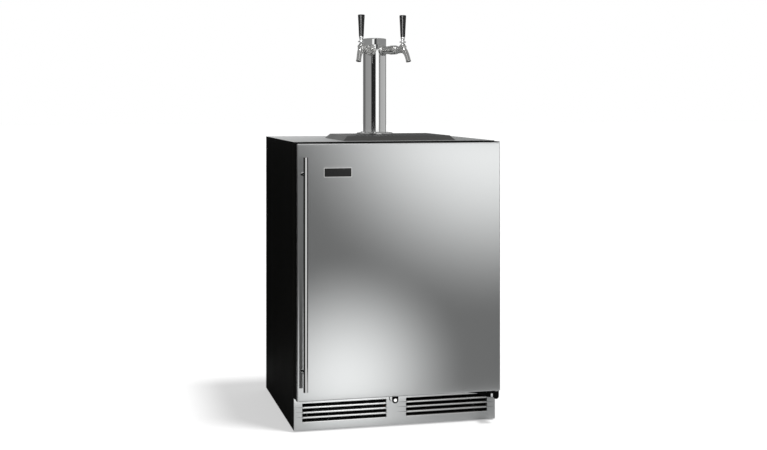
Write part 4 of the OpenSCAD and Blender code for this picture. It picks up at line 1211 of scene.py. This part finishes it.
@dataclass
class Tower:
    """Chrome column with its cap, flange and screws, and what runs inside it.

    Attributes:
        y: distance of its axis from the cabinet's face.
        foot: height of the drip tray's top.
        cap: height of the joint under the cap.
        dome: points of the cap above its skirt, as shares of the radius and heights.
        tap_turn: angle of each shank from straight ahead.
        lock_ring: points of the ring that holds a shank, from the tower's axis.
        barbs: heights of the hose tail's barbs, from its top.
    """

    y: float = 274.0
    foot: float = 848.0
    cap: float = 1141.0
    radius: float = 36.5
    inner: float = 34.9
    skirt: float = 12.0
    dome: Profile = ((0.86, 6.0), (0.66, 6.8), (0.4, 7.5), (0.18, 7.9), (0, 8.0))
    flange_radius: float = 57.0
    flange: float = 4.5
    screw_circle: float = 47.0
    screw_turns: tuple[float, ...] = (45.0, 135.0, 225.0, 315.0)
    shank_z: float = 1109.0
    tap_turn: float = 32.5
    lock_ring: Profile = ((9.06, 26), (13.3, 26), (13.3, 31), (9.06, 31))
    tail_reach: float = 15.0
    tail_top: float = 781.5
    barbs: tuple[float, ...] = (-10.0, -16.0, -22.0, -28.0)

    def tap_frame(self, side: Side) -> Matrix:
        """Returns a tap's frame on the tower's axis, whose X axis runs out along the shank."""
        turn = math.radians(side.value * self.tap_turn - 90)
        return Matrix.Translation(spot(0, self.y, self.shank_z)) @ Matrix.Rotation(turn, 4, "Z")

    def build(self) -> None:
        """Turns the cap, flange, screws and hose tails and dresses the rest."""
        SHOP.dress(FINISH.chrome, "tower_column")
        SHOP.dress(FINISH.tap, "bonnets")
        SHOP.dress(FINISH.white, "line_plate")
        SHOP.dress(FINISH.tube, "beer_lines")
        SHOP.dress(FINISH.zinc, "plunger_left", "plunger_right")
        self._cap()
        self._flange()
        self._fasteners()
        self._tails()

    def _cap(self) -> None:
        """Turns the domed cap with its skirt inside the column."""
        form = Form()
        r, wall, deep = self.radius, self.inner - 0.2, -self.skirt
        profile = [(0, 0.2), (wall - 2, 0.2), (wall - 2, deep), (wall, deep), (wall, 0.15), (r, 0.15)]
        profile += [(r, 4.0), (r - 1.4, 5.2), *((r * share, height) for share, height in self.dome)]
        form.lathe(profile, Matrix.Translation(spot(0, self.y, self.cap)), steps=96)
        SHOP.piece("tower_cap_domed", form, FINISH.chrome, "cabinet", ["tower_cap"], sharp=50.0)

    def _flange(self) -> None:
        """Turns the flange with a rounded edge and a bead round the column."""
        form = Form()
        r, t, c = self.flange_radius, self.flange, self.radius + 0.06
        profile = [(c, 0), (r, 0), (r, t - 1.6), (r - 1.8, t), (c + 5, t), (c + 2.4, t + 1.6), (c, t + 2.4)]
        at = Matrix.Translation(spot(0, self.y, self.foot))
        form.lathe(profile, at, steps=96, rounding=0.5, closed=True)
        SHOP.piece("tower_flange_turned", form, FINISH.chrome, "cabinet", ["tower_flange"])

    def _fasteners(self) -> None:
        """Makes the flange's screws and the rings that hold the shanks."""
        form = Form()
        axis = spot(0, self.y, self.foot + self.flange)
        for turn in map(math.radians, self.screw_turns):
            out = Vector((math.cos(turn), math.sin(turn), 0)) * self.screw_circle * MM
            Screw().add(form, Matrix.Translation(axis + out))
        for side in Side:
            along = self.tap_frame(side) @ Matrix.Rotation(math.pi / 2, 4, "Y")
            form.lathe(self.lock_ring, along, steps=6, closed=True)
        SHOP.piece("tower_fasteners_turned", form, FINISH.zinc, "cabinet", ["tower_fasteners"])

    def _tails(self) -> None:
        """Turns the barbed hose tails under the line plate."""
        form = Form()
        profile = [(2.5, 0), (6.5, 0), (6.5, -4), (4, -4), (4, -10)]
        for barb in self.barbs:
            profile += [(4, barb), (4, barb - 1), (3.4, barb - 5.5)]
        profile += [(4, -33.5), (3.4, -34), (2.5, -34)]
        for side in Side:
            along = self.tap_frame(side) @ Vector((self.tail_reach * MM, 0, 0))
            at = Matrix.Translation((along.x, along.y, self.tail_top * MM))
            form.lathe(profile, at, steps=32, closed=True)
        SHOP.piece("hose_tails_barbed", form, FINISH.brass, "cabinet", ["line_tails"], sharp=30.0)


@dataclass
class Taps:
    """Shanks, coupling nuts, faucet bodies, levers and handles.

    Attributes:
        reach: distance of a faucet's upright axis from the tower's.
        shank, shank_end: points of the shank, from the tower's axis and from the nut.
        nut: where the coupling nut starts and ends.
        nut_border: how far the key's slots stay from the nut's ends.
        slot_turn, slot_depth, slot_draft: a slot's width in degrees, its depth and its walls' slope.
        barrel: points of the faucet's barrel, from the nut's end.
        boss: points of its upright boss above the rounded foot.
        spout_out, spout_lean, spout: where the spout turns down, its lean in degrees and its length.
        neck: radius at which the spout leaves the barrel.
        painted_shade_within: how far from the mouth's middle its inside and rim are black plastic, painted
            shade in the hollow mouth.
        lever_ball: radius and height of the lever's ball.
        lever_tip, lever_stem, grip: points of the lever below and above the ball, and of the handle.
    """

    tower: Tower = field(default_factory=Tower)
    reach: float = 121.5
    shank: Profile = (
        (3, 24), (4.5, 24), (4.5, 25.5), (9, 25.5), (9, 32), (17, 32), (17, 38.5), (15.6, 41),
        (13.6, 41.8), (13, 43.5), (12.1, 45),
    )
    shank_end: Profile = ((12.1, -7), (13, -5.5), (13, -1), (9, -1), (9, 5), (11, 5), (11, 10), (3, 10))
    nut: Pair = (69.5, 93.5)
    nut_radius: float = 14.0
    nut_edge: float = 12.8
    nut_thread: float = 11.3
    nut_bore: float = 9.3
    nut_border: float = 4.0
    nut_steps: int = 80
    nut_slots: int = 8
    slot_turn: float = 13.6
    slot_depth: float = 1.5
    slot_draft: float = 0.25
    barrel: Profile = (
        (5.5, -13), (11, -13), (11, 0.2), (12.5, 0.2), (12.5, 4), (10.6, 5.4), (10.2, 11), (11, 12.2),
        (11, 14.4), (10.2, 15.6), (10.1, 26), (5.5, 26),
    )
    boss_radius: float = 11.0
    boss: Profile = ((11, 7), (11.6, 8), (11.6, 10.2), (11, 11.2), (7.7, 11.5), (7.7, 1.5), (0, 1.5))
    spout_out: float = 11.0
    spout_lean: float = 20.0
    spout: float = 39.0
    spout_radius: float = 7.5
    spout_bore: float = 5.5
    spout_steps: int = 16
    spout_facets: int = 40
    # the spout's inside, this far from the mouth's middle, is black plastic: painted shade in the hollow
    # mouth
    neck: float = 10.1
    painted_shade_within: float = 8.0
    lever_ball: Pair = (5.5, 12.5)
    lever_tip: Profile = ((0, 3.5), (1.8, 3.5), (1.8, 7.3))
    lever_stem: Profile = (
        (3, 17.4), (3, 21.4), (9, 21.4), (10, 22.3), (10, 24.2), (8.6, 25.4), (6, 25.9), (5.2, 26.6),
        (5.2, 29.6), (6.2, 31), (5.6, 32.4), (6.8, 34), (7, 38.6), (3, 38.7), (3, 56), (0, 56),
    )
    grip: Profile = (
        (3.06, 57.5), (3.06, 38.9), (6.6, 38.9), (7.4, 40.2), (7.9, 50), (8.6, 67), (9.6, 88),
        (10.4, 101.5), (10.5, 103.2), (10.2, 104.6), (9.3, 105.5), (8, 105.9), (0, 105.9), (0, 57.5),
    )

    def build(self) -> None:
        """Turns both taps."""
        shanks, nuts, bodies = Form(), Form(), Form()
        for side in Side:
            at = self.tower.tap_frame(side)
            along = at @ Matrix.Rotation(math.pi / 2, 4, "Y")
            upright = at @ Matrix.Translation((self.reach * MM, 0, 0))
            end = [(radius, self.nut[0] + out) for radius, out in self.shank_end]
            shanks.lathe([*self.shank, *end], along, rounding=0.5, closed=True)
            self._nut(nuts, along)
            self._body(bodies, along, upright)
            self._lever(side.name.lower(), upright)
        SHOP.piece("shanks_turned", shanks, FINISH.tap, "cabinet", ["shanks"])
        SHOP.piece("coupling_nuts_slotted", nuts, FINISH.tap, "cabinet", ["coupling_nuts"])
        # the bodies' second finish, black plastic, is painted shade inside the spouts' mouths
        SHOP.piece(
            "faucet_bodies_turned", bodies, FINISH.tap, "cabinet", ["faucet_bodies"], FINISH.black_plastic
        )

    def _nut(self, form: Form, along: Matrix) -> None:
        """Turns a coupling nut and sinks the slots for its key.

        Args:
            form: the nuts' mesh.
            along: frame whose Z axis runs along the shank.
        """
        low, high = self.nut
        r, edge, border = self.nut_radius, self.nut_edge, self.nut_border
        profile = [(self.nut_bore, low), (edge, low), (r, low + 1.4), (r, low + border), (r, high - border)]
        profile += [(r, high - 1.4), (edge, high), (self.nut_thread, high)]
        profile += [(self.nut_thread, low + 5), (self.nut_bore, low + 5)]
        before = set(form.mesh.faces)
        with form.placed(along):
            form.lathe(profile, Matrix.Identity(4), steps=self.nut_steps, closed=True)
            band = []
            for face in form.mesh.faces:
                at = face.calc_center_median() / MM
                wall = math.hypot(at.x, at.y) > r - 0.5 and low + border + 0.2 < at.z < high - border - 0.2
                turn = math.degrees(math.atan2(at.y, at.x)) % (360 / self.nut_slots)
                if face not in before and wall and turn < self.slot_turn:
                    band.append(face)
            draft, depth = self.slot_draft * MM, -self.slot_depth * MM
            bmesh.ops.inset_region(
                form.mesh, faces=band, thickness=draft, depth=depth, use_even_offset=True
            )

    def _body(self, form: Form, along: Matrix, upright: Matrix) -> None:
        """Turns a faucet's barrel and its upright boss, and adds the spout.

        Args:
            form: the faucets' mesh.
            along: frame whose Z axis runs along the shank.
            upright: frame whose Z axis is the boss's.
        """
        barrel = [(radius, self.nut[1] + out) for radius, out in self.barrel]
        form.lathe(barrel, along, rounding=0.5, closed=True)
        form.lathe([*ball(self.boss_radius, 0, range(0, 91, 9)), *self.boss], upright)
        self._spout(form, upright)

    def _bend(self, mouth: Vector) -> list[Station]:
        """Bends the spout from the boss down to its mouth.

        Args:
            mouth: the middle of the mouth.

        Returns:
            The middle, direction and radius of each ring.
        """
        start, corner = Vector((-3, 0, 0)), Vector((self.spout_out + 1.5, 0, 2))
        taper = self.neck - self.spout_radius
        stations = []
        for i in range(self.spout_steps + 1):
            t = i / self.spout_steps
            place = start * (1 - t) ** 2 + corner * 2 * t * (1 - t) + mouth * t * t
            ahead = (corner - start) * (1 - t) + (mouth - corner) * t
            stations.append((place, ahead.normalized(), self.neck - taper * min(1, t * 1.25)))
        return stations

    def _ring(self, station: Station) -> list[Vector]:
        """Returns the points of a spout's ring.

        Args:
            station: its middle, direction and radius.

        Returns:
            The points in millimetres.
        """
        place, ahead, radius = station
        side = Vector((0, 1, 0))
        across = side.cross(ahead)
        turns = [math.tau * j / self.spout_facets for j in range(self.spout_facets)]
        return [place + (across * math.cos(turn) + side * math.sin(turn)) * radius for turn in turns]

    def _spout(self, form: Form, upright: Matrix) -> None:
        """Adds a spout with a rolled lip and a hollow mouth, whose inside is black plastic: painted shade.

        Args:
            form: the faucets' mesh.
            upright: frame whose Z axis is the boss's.
        """
        lean = math.radians(self.spout_lean)
        out = self.spout_out + self.spout * math.sin(lean)
        mouth = Vector((out, 0, -1 - self.spout * math.cos(lean)))
        stations = self._bend(mouth)
        down = stations[-1][1]
        lip, bore = self.spout_radius, self.spout_bore
        ends = [(-4.2, lip + 0.1), (-3.4, lip + 0.6), (-1.0, lip + 0.6), (-0.2, lip), (0, lip - 0.8)]
        ends += [(0, bore + 0.6), (-0.8, bore), (-14, bore), (-14, 0.2)]
        stations = stations[:-2] + [(mouth + down * along, down, radius) for along, radius in ends]
        before = set(form.mesh.faces)
        form.rings([[upright @ (point * MM) for point in self._ring(station)] for station in stations])
        back = upright.inverted()
        # faces inside the hollow mouth take black plastic: painted shade
        for face in form.mesh.faces:
            away = back @ face.calc_center_median() / MM - mouth
            beside = (away - down * away.dot(down)).length
            if face not in before and beside < lip - 0.2 and away.length < self.painted_shade_within:
                face.material_index = 1

    def _lever(self, name: str, upright: Matrix) -> None:
        """Turns a lever with tip, ball, stem, collar and ferrule, and its tapered handle.

        Args:
            name: the tap's side.
            upright: frame whose Z axis is the lever's.
        """
        body = f"{name}_lever"
        lever = Form()
        round_part = ball(*self.lever_ball, range(25, 146, 12))
        lever.lathe([*self.lever_tip, *round_part, *self.lever_stem], upright, steps=48)
        SHOP.piece(f"lever_{name}_turned", lever, FINISH.chrome, body, [f"lever_{name}"], sharp=55.0)
        handle = Form()
        handle.lathe(self.grip, upright, closed=True)
        SHOP.piece(f"tap_handle_{name}_turned", handle, FINISH.gloss, body, [f"tap_handle_{name}"])


@dataclass
class Interior:
    """What shows when the door is open: evaporator cover, thermostat and light.

    Attributes:
        cover_front, cover_x, cover_z: where the evaporator cover's screws stand.
        dial_front, dial_x, dial_z: where the thermostat's knob turns.
        ticks, dial_turn: how many marks there are, and the angle between the first and the last.
        mark_low, mark_high: corners of the mark at the top, from the knob's axis.
    """

    cover_screw: Screw = Screw(3.6, 2.0)
    cover_front: float = 422.0
    cover_x: float = 136.0
    cover_z: Pair = (571.5, 753.5)
    dial_x: float = 192.0
    dial_z: float = 770.5
    dial_front: float = 44.0
    ticks: int = 9
    dial_turn: float = 270.0
    mark_low: Point = (-0.4, 13.6, -0.3)
    mark_high: Point = (0.4, 15.6, 0.25)

    def build(self) -> None:
        """Rounds the covers and adds screws and dial marks."""
        SHOP.soften("evaporator_cover", FINISH.white, 0.8)
        SHOP.soften("thermostat_housing", FINISH.white, 2.0, 4)
        SHOP.soften("thermostat_knob", FINISH.black_plastic, 0.6)
        SHOP.soften("light_bar", FINISH.lens, 0.8, over=15.0)
        SHOP.dress(FINISH.white, "evaporator_fan")
        form = Form()
        for x in (-self.cover_x, self.cover_x):
            for z in self.cover_z:
                self.cover_screw.add(form, facing(spot(x, self.cover_front, z), (0, -1, 0)))
        SHOP.piece("cover_screws", form, FINISH.zinc, "cabinet")
        self._dial_marks()

    def _dial_marks(self) -> None:
        """Adds the raised marks round the thermostat's knob."""
        form = Form()
        axis = facing(spot(self.dial_x, self.dial_front, self.dial_z), (0, -1, 0))
        for i in range(self.ticks):
            turn = math.radians(self.dial_turn * (i / (self.ticks - 1) - 0.5))
            with form.placed(axis @ Matrix.Rotation(turn, 4, "Z")):
                form.block(Vector(self.mark_low) * MM, Vector(self.mark_high) * MM)
        SHOP.piece("dial_marks", form, FINISH.black_plastic, "cabinet")


def stage_mesh(name: str, form: Form, material: bpy.types.Material) -> bpy.types.Object:
    """Adds a thing of the studio.

    Args:
        name: its name.
        form: its mesh, which is used up.
        material: its material.

    Returns:
        The object.
    """
    made = form.made(name, material)
    made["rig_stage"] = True
    return made


@dataclass
class Reflector(ABC):
    """Something that only reflections see.

    Attributes:
        name: its name.
    """

    name: str

    @abstractmethod
    def shape(self) -> Form:
        """Returns its mesh."""

    @abstractmethod
    def light(self, graph: Graph) -> Value:
        """Returns its shader."""

    def build(self) -> None:
        """Hangs the reflector, hidden from everything but gloss."""
        material, graph = new_graph(self.name)
        graph.node("ShaderNodeOutputMaterial", {}, {"Surface": self.light(graph)})
        made = stage_mesh(self.name, self.shape(), material)
        for rays in ("camera", "diffuse", "shadow", "transmission"):
            setattr(made, f"visible_{rays}", False)


@dataclass
class Surround(Reflector):
    """Band of a round studio wall with flags and soft boxes, which the metal mirrors.

    Attributes:
        profile: radius and height of the band's points.
        stops: brightness at places round the wall, from the back over the left to the front (0.5) and on.
        middle_y: place of its axis.
        strength: brightness of a level of 1.
    """

    profile: Profile
    stops: Profile
    middle_y: float = 274.0
    strength: float = 1.3

    def shape(self) -> Form:
        """Turns the band.

        Returns:
            Its mesh.
        """
        form = Form()
        form.lathe(self.profile, Matrix.Translation(spot(0, self.middle_y, 0)), steps=96)
        return form

    def light(self, graph: Graph) -> Value:
        """Makes the band's shader, which changes round its axis.

        Args:
            graph: the material's graph.

        Returns:
            The shader.
        """
        x = graph.node("ShaderNodeSeparateXYZ", {}, {"Vector": graph.place()}, out="X")
        back = x.out("Y") - (FACE_Y + self.middle_y * MM)
        share = x.math("ARCTAN2", x, back * -1.0) * (1.0 / math.tau) + 0.5
        return graph.glow(graph.levels(share, self.stops), self.strength)


@dataclass
class Panel(Reflector):
    """Upright panel before the door, bright on its back, where it faces the door.

    Attributes:
        y: its distance from the cabinet's face.
        x, z: its edges.
        dark, bright: its least and greatest brightness.
    """

    y: float
    x: Pair
    z: Pair
    dark: float
    bright: float

    def shape(self) -> Form:
        """Makes the panel.

        Returns:
            Its mesh.
        """
        form = Form()
        form.plate(rectangle(self.x, self.z), self.y)
        return form

    def share(self, graph: Graph, place: Value) -> Value:
        """Returns how bright each place is, rising evenly with height."""
        height = graph.node("ShaderNodeSeparateXYZ", {}, {"Vector": place}, out="Z")
        return self.ramp(graph, height, *self.z)

    def ramp(self, graph: Graph, value: Value, zero: float, one: float) -> Value:
        """Returns a soft step between two values given in millimetres."""
        inputs = {0: value, 1: zero * MM, 2: one * MM}
        return graph.node("ShaderNodeMapRange", {"interpolation_type": "SMOOTHSTEP"}, inputs)

    def light(self, graph: Graph) -> Value:
        """Makes the panel's shader.

        Args:
            graph: the material's graph.

        Returns:
            The shader, black on the panel's front.
        """
        share = self.share(graph, graph.place())
        colour = graph.blend(share, (self.dark / self.bright,) * 3, (1.0, 1.0, 1.0))
        light = graph.glow(colour, self.bright)
        dull = graph.glow((0.0, 0.0, 0.0, 1.0))
        behind = graph.node("ShaderNodeNewGeometry", out="Backfacing")
        return graph.node("ShaderNodeMixShader", {}, {0: behind, 1: dull, 2: light})


@dataclass
class DoorPanel(Panel):
    """Panel before the door with soft round glows, one low at the left and one beyond the upper right.

    Attributes:
        glows: x and z of each glow's middle, the radius of its full light and that of its end.
    """

    glows: tuple[tuple[float, float, float, float], ...] = (
        (-151.5, 147.0, 0.0, 375.0),
        (324.0, 1035.0, 216.0, 736.0),
    )

    def share(self, graph: Graph, place: Value) -> Value:
        """Adds up the glows.

        Args:
            graph: the material's graph.
            place: Object coordinates.

        Returns:
            How bright each place is.
        """
        light = 0.0
        for x, z, full, end in self.glows:
            inputs = {0: place, 1: spot(x, self.y, z)}
            away = graph.node("ShaderNodeVectorMath", {"operation": "DISTANCE"}, inputs, out="Value")
            light = self.ramp(graph, away, end, full) + light
        return light


@dataclass
class GrillePanel(Panel):
    """Panel before the grille, brightest left of its middle and along its top, where the slots' beads see it.

    Attributes:
        across: brightness at places from its left edge (0) to its right edge (1).
        top: z between which it gains its full light.
        foot: share of the light below that.
    """

    across: Profile = (
        (0.0, 0.50), (0.05, 0.55), (0.11, 0.64), (0.16, 0.85), (0.26, 0.95), (0.36, 0.90),
        (0.46, 0.70), (0.56, 0.51), (0.66, 0.38), (0.77, 0.32), (0.87, 0.27), (1.0, 0.24),
    )
    top: Pair = (72.0, 90.0)
    foot: float = 0.34

    def share(self, graph: Graph, place: Value) -> Value:
        """Works out the light across the panel and up to its top.

        Args:
            graph: the material's graph.
            place: Object coordinates.

        Returns:
            How bright each place is.
        """
        x = graph.node("ShaderNodeSeparateXYZ", {}, {"Vector": place}, out="X")
        low, high = self.x
        along = (x - low * MM) * (1.0 / ((high - low) * MM))
        up = self.ramp(graph, x.out("Z"), *self.top) * (1.0 - self.foot) + self.foot
        return graph.levels(along, self.across) * up


@dataclass
class Studio:
    """Camera, floor, world, key light and reflectors.

    Attributes:
        camera_at, camera_turn, lens, sensor, shift: the camera of the photograph, fitted to its edges.
        floor_colour, floor_lift: the floor's grey, and the light that the camera sees it give.
        ambient: what the white surround gives to matt surfaces.
        sun_from, sun_power, sun_spread: direction, strength and width of the key light.
        shade_from: how far, in metres, a piece reaches behind the face if it shades the floor.
    """

    camera_at: Point = (-0.8939, FACE_Y - 3.5362, 0.9612)
    camera_turn: float = -13.585
    lens: float = 58.47
    sensor: float = 36.0
    shift: Pair = (0.0009, -0.1659)
    floor_half: float = 40.0
    floor_colour: float = 0.364
    floor_lift: float = 0.50
    ambient: float = 0.55
    sun_from: Point = (1.5, -1.2, 6.0)
    sun_power: float = 3.6
    sun_spread: float = 11.0
    shade_from: float = 0.02
    reflectors: tuple[Reflector, ...] = (
        Surround(
            "low_wall",
            ((800.0, 0.0), (800.0, 820.0)),
            ((0.0, 0.01), (0.39, 0.01), (0.41, 0.56), (0.55, 0.56), (0.565, 0.01), (1.0, 0.01)),
        ),
        Surround(
            "column_wall",
            ((1200.0, 820.0), (1200.0, 1720.0)),
            (
                (0.0, 0.50), (0.04, 0.50), (0.055, 0.12), (0.17, 0.13), (0.20, 0.27), (0.365, 0.30),
                (0.385, 0.015), (0.49, 0.02), (0.505, 1.0), (0.575, 1.0), (0.59, 0.19), (0.615, 0.22),
                (0.635, 0.40), (0.83, 0.45), (0.87, 0.11), (0.965, 0.13), (0.99, 0.50), (1.0, 0.50),
            ),
        ),
        Surround(
            "high_wall",
            ((400.0, 1125.0), (400.0, 1500.0), (0.0, 1500.0)),
            (
                (0.0, 0.20), (0.20, 0.25), (0.37, 0.30), (0.40, 0.06), (0.44, 0.06), (0.455, 0.90),
                (0.49, 0.90), (0.505, 0.05), (0.54, 0.05), (0.56, 0.25), (0.75, 0.30), (1.0, 0.20),
            ),
        ),
        Surround(
            "head_ring",
            ((48.0, 1127.5), (48.0, 1152.0)),
            (
                (0.0, 0.22), (0.10, 0.16), (0.20, 0.22), (0.42, 0.24), (0.43, 0.90), (0.456, 0.90),
                (0.464, 0.05), (0.492, 0.05), (0.505, 0.24), (0.70, 0.24), (0.85, 0.16), (1.0, 0.22),
            ),
        ),
        DoorPanel("door_panel", -98.0, (-340.0, 380.0), (91.0, 832.0), 0.155, 1.37),
        GrillePanel("grille_panel", -48.0, (-340.0, 380.0), (1.0, 98.0), 0.0, 3.7),
        Panel("lock_card", -42.0, (-15.5, -4.0), (78.0, 89.5), 1.15, 1.2),
        Panel("left_handle_card", 141.5, (-87.0, -73.0), (1142.0, 1226.0), 8.9, 9.0),
        Panel("right_handle_card", 141.5, (44.0, 58.0), (1142.0, 1226.0), 8.9, 9.0),
        # dark flag 1.6 mm before the door, beside the handle bar: painted shade, a dark stripe darkening
        # towards the bottom, which the door mirrors left of the bar
        Panel("bar_flag", -59.6, (-296.4, -286.0), (139.0, 795.0), 0.0, 0.16),
    )

    def camera(self) -> None:
        """Sets up the camera of the photograph."""
        data = bpy.data.cameras.new("photo_camera")
        data.sensor_fit = "HORIZONTAL"
        data.sensor_width = self.sensor
        data.lens = self.lens
        data.shift_x, data.shift_y = self.shift
        made = bpy.data.objects.new("photo_camera", data)
        made.location = self.camera_at
        made.rotation_euler = (math.pi / 2, 0.0, math.radians(self.camera_turn))
        bpy.context.scene.collection.objects.link(made)
        bpy.context.scene.camera = made

    def _floor(self) -> None:
        """Lays the pale floor, which keeps the shadow."""
        material, graph = new_graph("pale_floor")
        matt = graph.node("ShaderNodeBsdfDiffuse", {}, {"Color": (*(self.floor_colour,) * 3, 1.0)})
        camera = graph.node("ShaderNodeLightPath", out="Is Camera Ray")
        lift = graph.glow((1.0, 1.0, 1.0, 1.0), camera * self.floor_lift)
        both = graph.node("ShaderNodeAddShader", {}, {0: matt, 1: lift})
        graph.node("ShaderNodeOutputMaterial", {}, {"Surface": both})
        form = Form()
        bmesh.ops.create_grid(form.mesh, x_segments=1, y_segments=1, size=self.floor_half)
        stage_mesh("floor", form, material)

    def _world(self) -> None:
        """Makes a surround that is white to camera, gloss and glass, and else gives a plain light."""
        world = bpy.data.worlds.new("white_surround")
        world.use_nodes = True
        bpy.context.scene.world = world
        graph = Graph(world.node_tree)
        path = graph.node("ShaderNodeLightPath", out="Is Camera Ray")
        gloss = path.math("MAXIMUM", path.out("Is Glossy Ray"), path.out("Is Transmission Ray"))
        seen = path.math("MAXIMUM", path, gloss)
        inputs = {"Color": (1.0, 1.0, 1.0, 1.0), "Strength": seen + (1 - seen) * self.ambient}
        light = graph.node("ShaderNodeBackground", {}, inputs)
        graph.node("ShaderNodeOutputWorld", {}, {"Surface": light})

    def _key(self) -> None:
        """Hangs the soft key light, high at the right and in front."""
        data = bpy.data.lights.new("key", "SUN")
        data.energy = self.sun_power
        data.angle = math.radians(self.sun_spread)
        made = bpy.data.objects.new("key", data)
        made.rotation_euler = Vector(self.sun_from).to_track_quat("Z", "Y").to_euler()
        made.visible_glossy = False
        made.light_linking.blocker_collection = self._blockers()
        bpy.context.scene.collection.objects.link(made)

    def _blockers(self) -> bpy.types.Collection:
        """Gathers what shades the floor: not the pieces before the face, where the floor stays white.

        Returns:
            The pieces.
        """
        held = bpy.data.collections.new("key_blockers")
        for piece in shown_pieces():
            if max(corner[1] for corner in piece.bound_box) > FACE_Y + self.shade_from:
                held.objects.link(piece)
        return held

    def build(self) -> None:
        """Sets up floor, world, key light and reflectors."""
        self._floor()
        self._world()
        self._key()
        for reflector in self.reflectors:
            reflector.build()
        bpy.context.scene.view_settings.view_transform = "Standard"


def main() -> None:
    """Builds the camera, the pieces and the studio, and logs how many pieces were made."""
    logging.basicConfig(level=logging.INFO, format="%(message)s")
    studio = Studio()
    studio.camera()
    tower = Tower()
    shell = (Cabinet(), Grille(), Door(), Handle(), HingesAndLock(), DripTray())
    for part in (*shell, tower, Taps(tower), Interior()):
        LOG.info("building %s", type(part).__name__)
        part.build()
    studio.build()
    LOG.info("%d pieces made", SHOP.count)


if __name__ == "__main__":
    main()
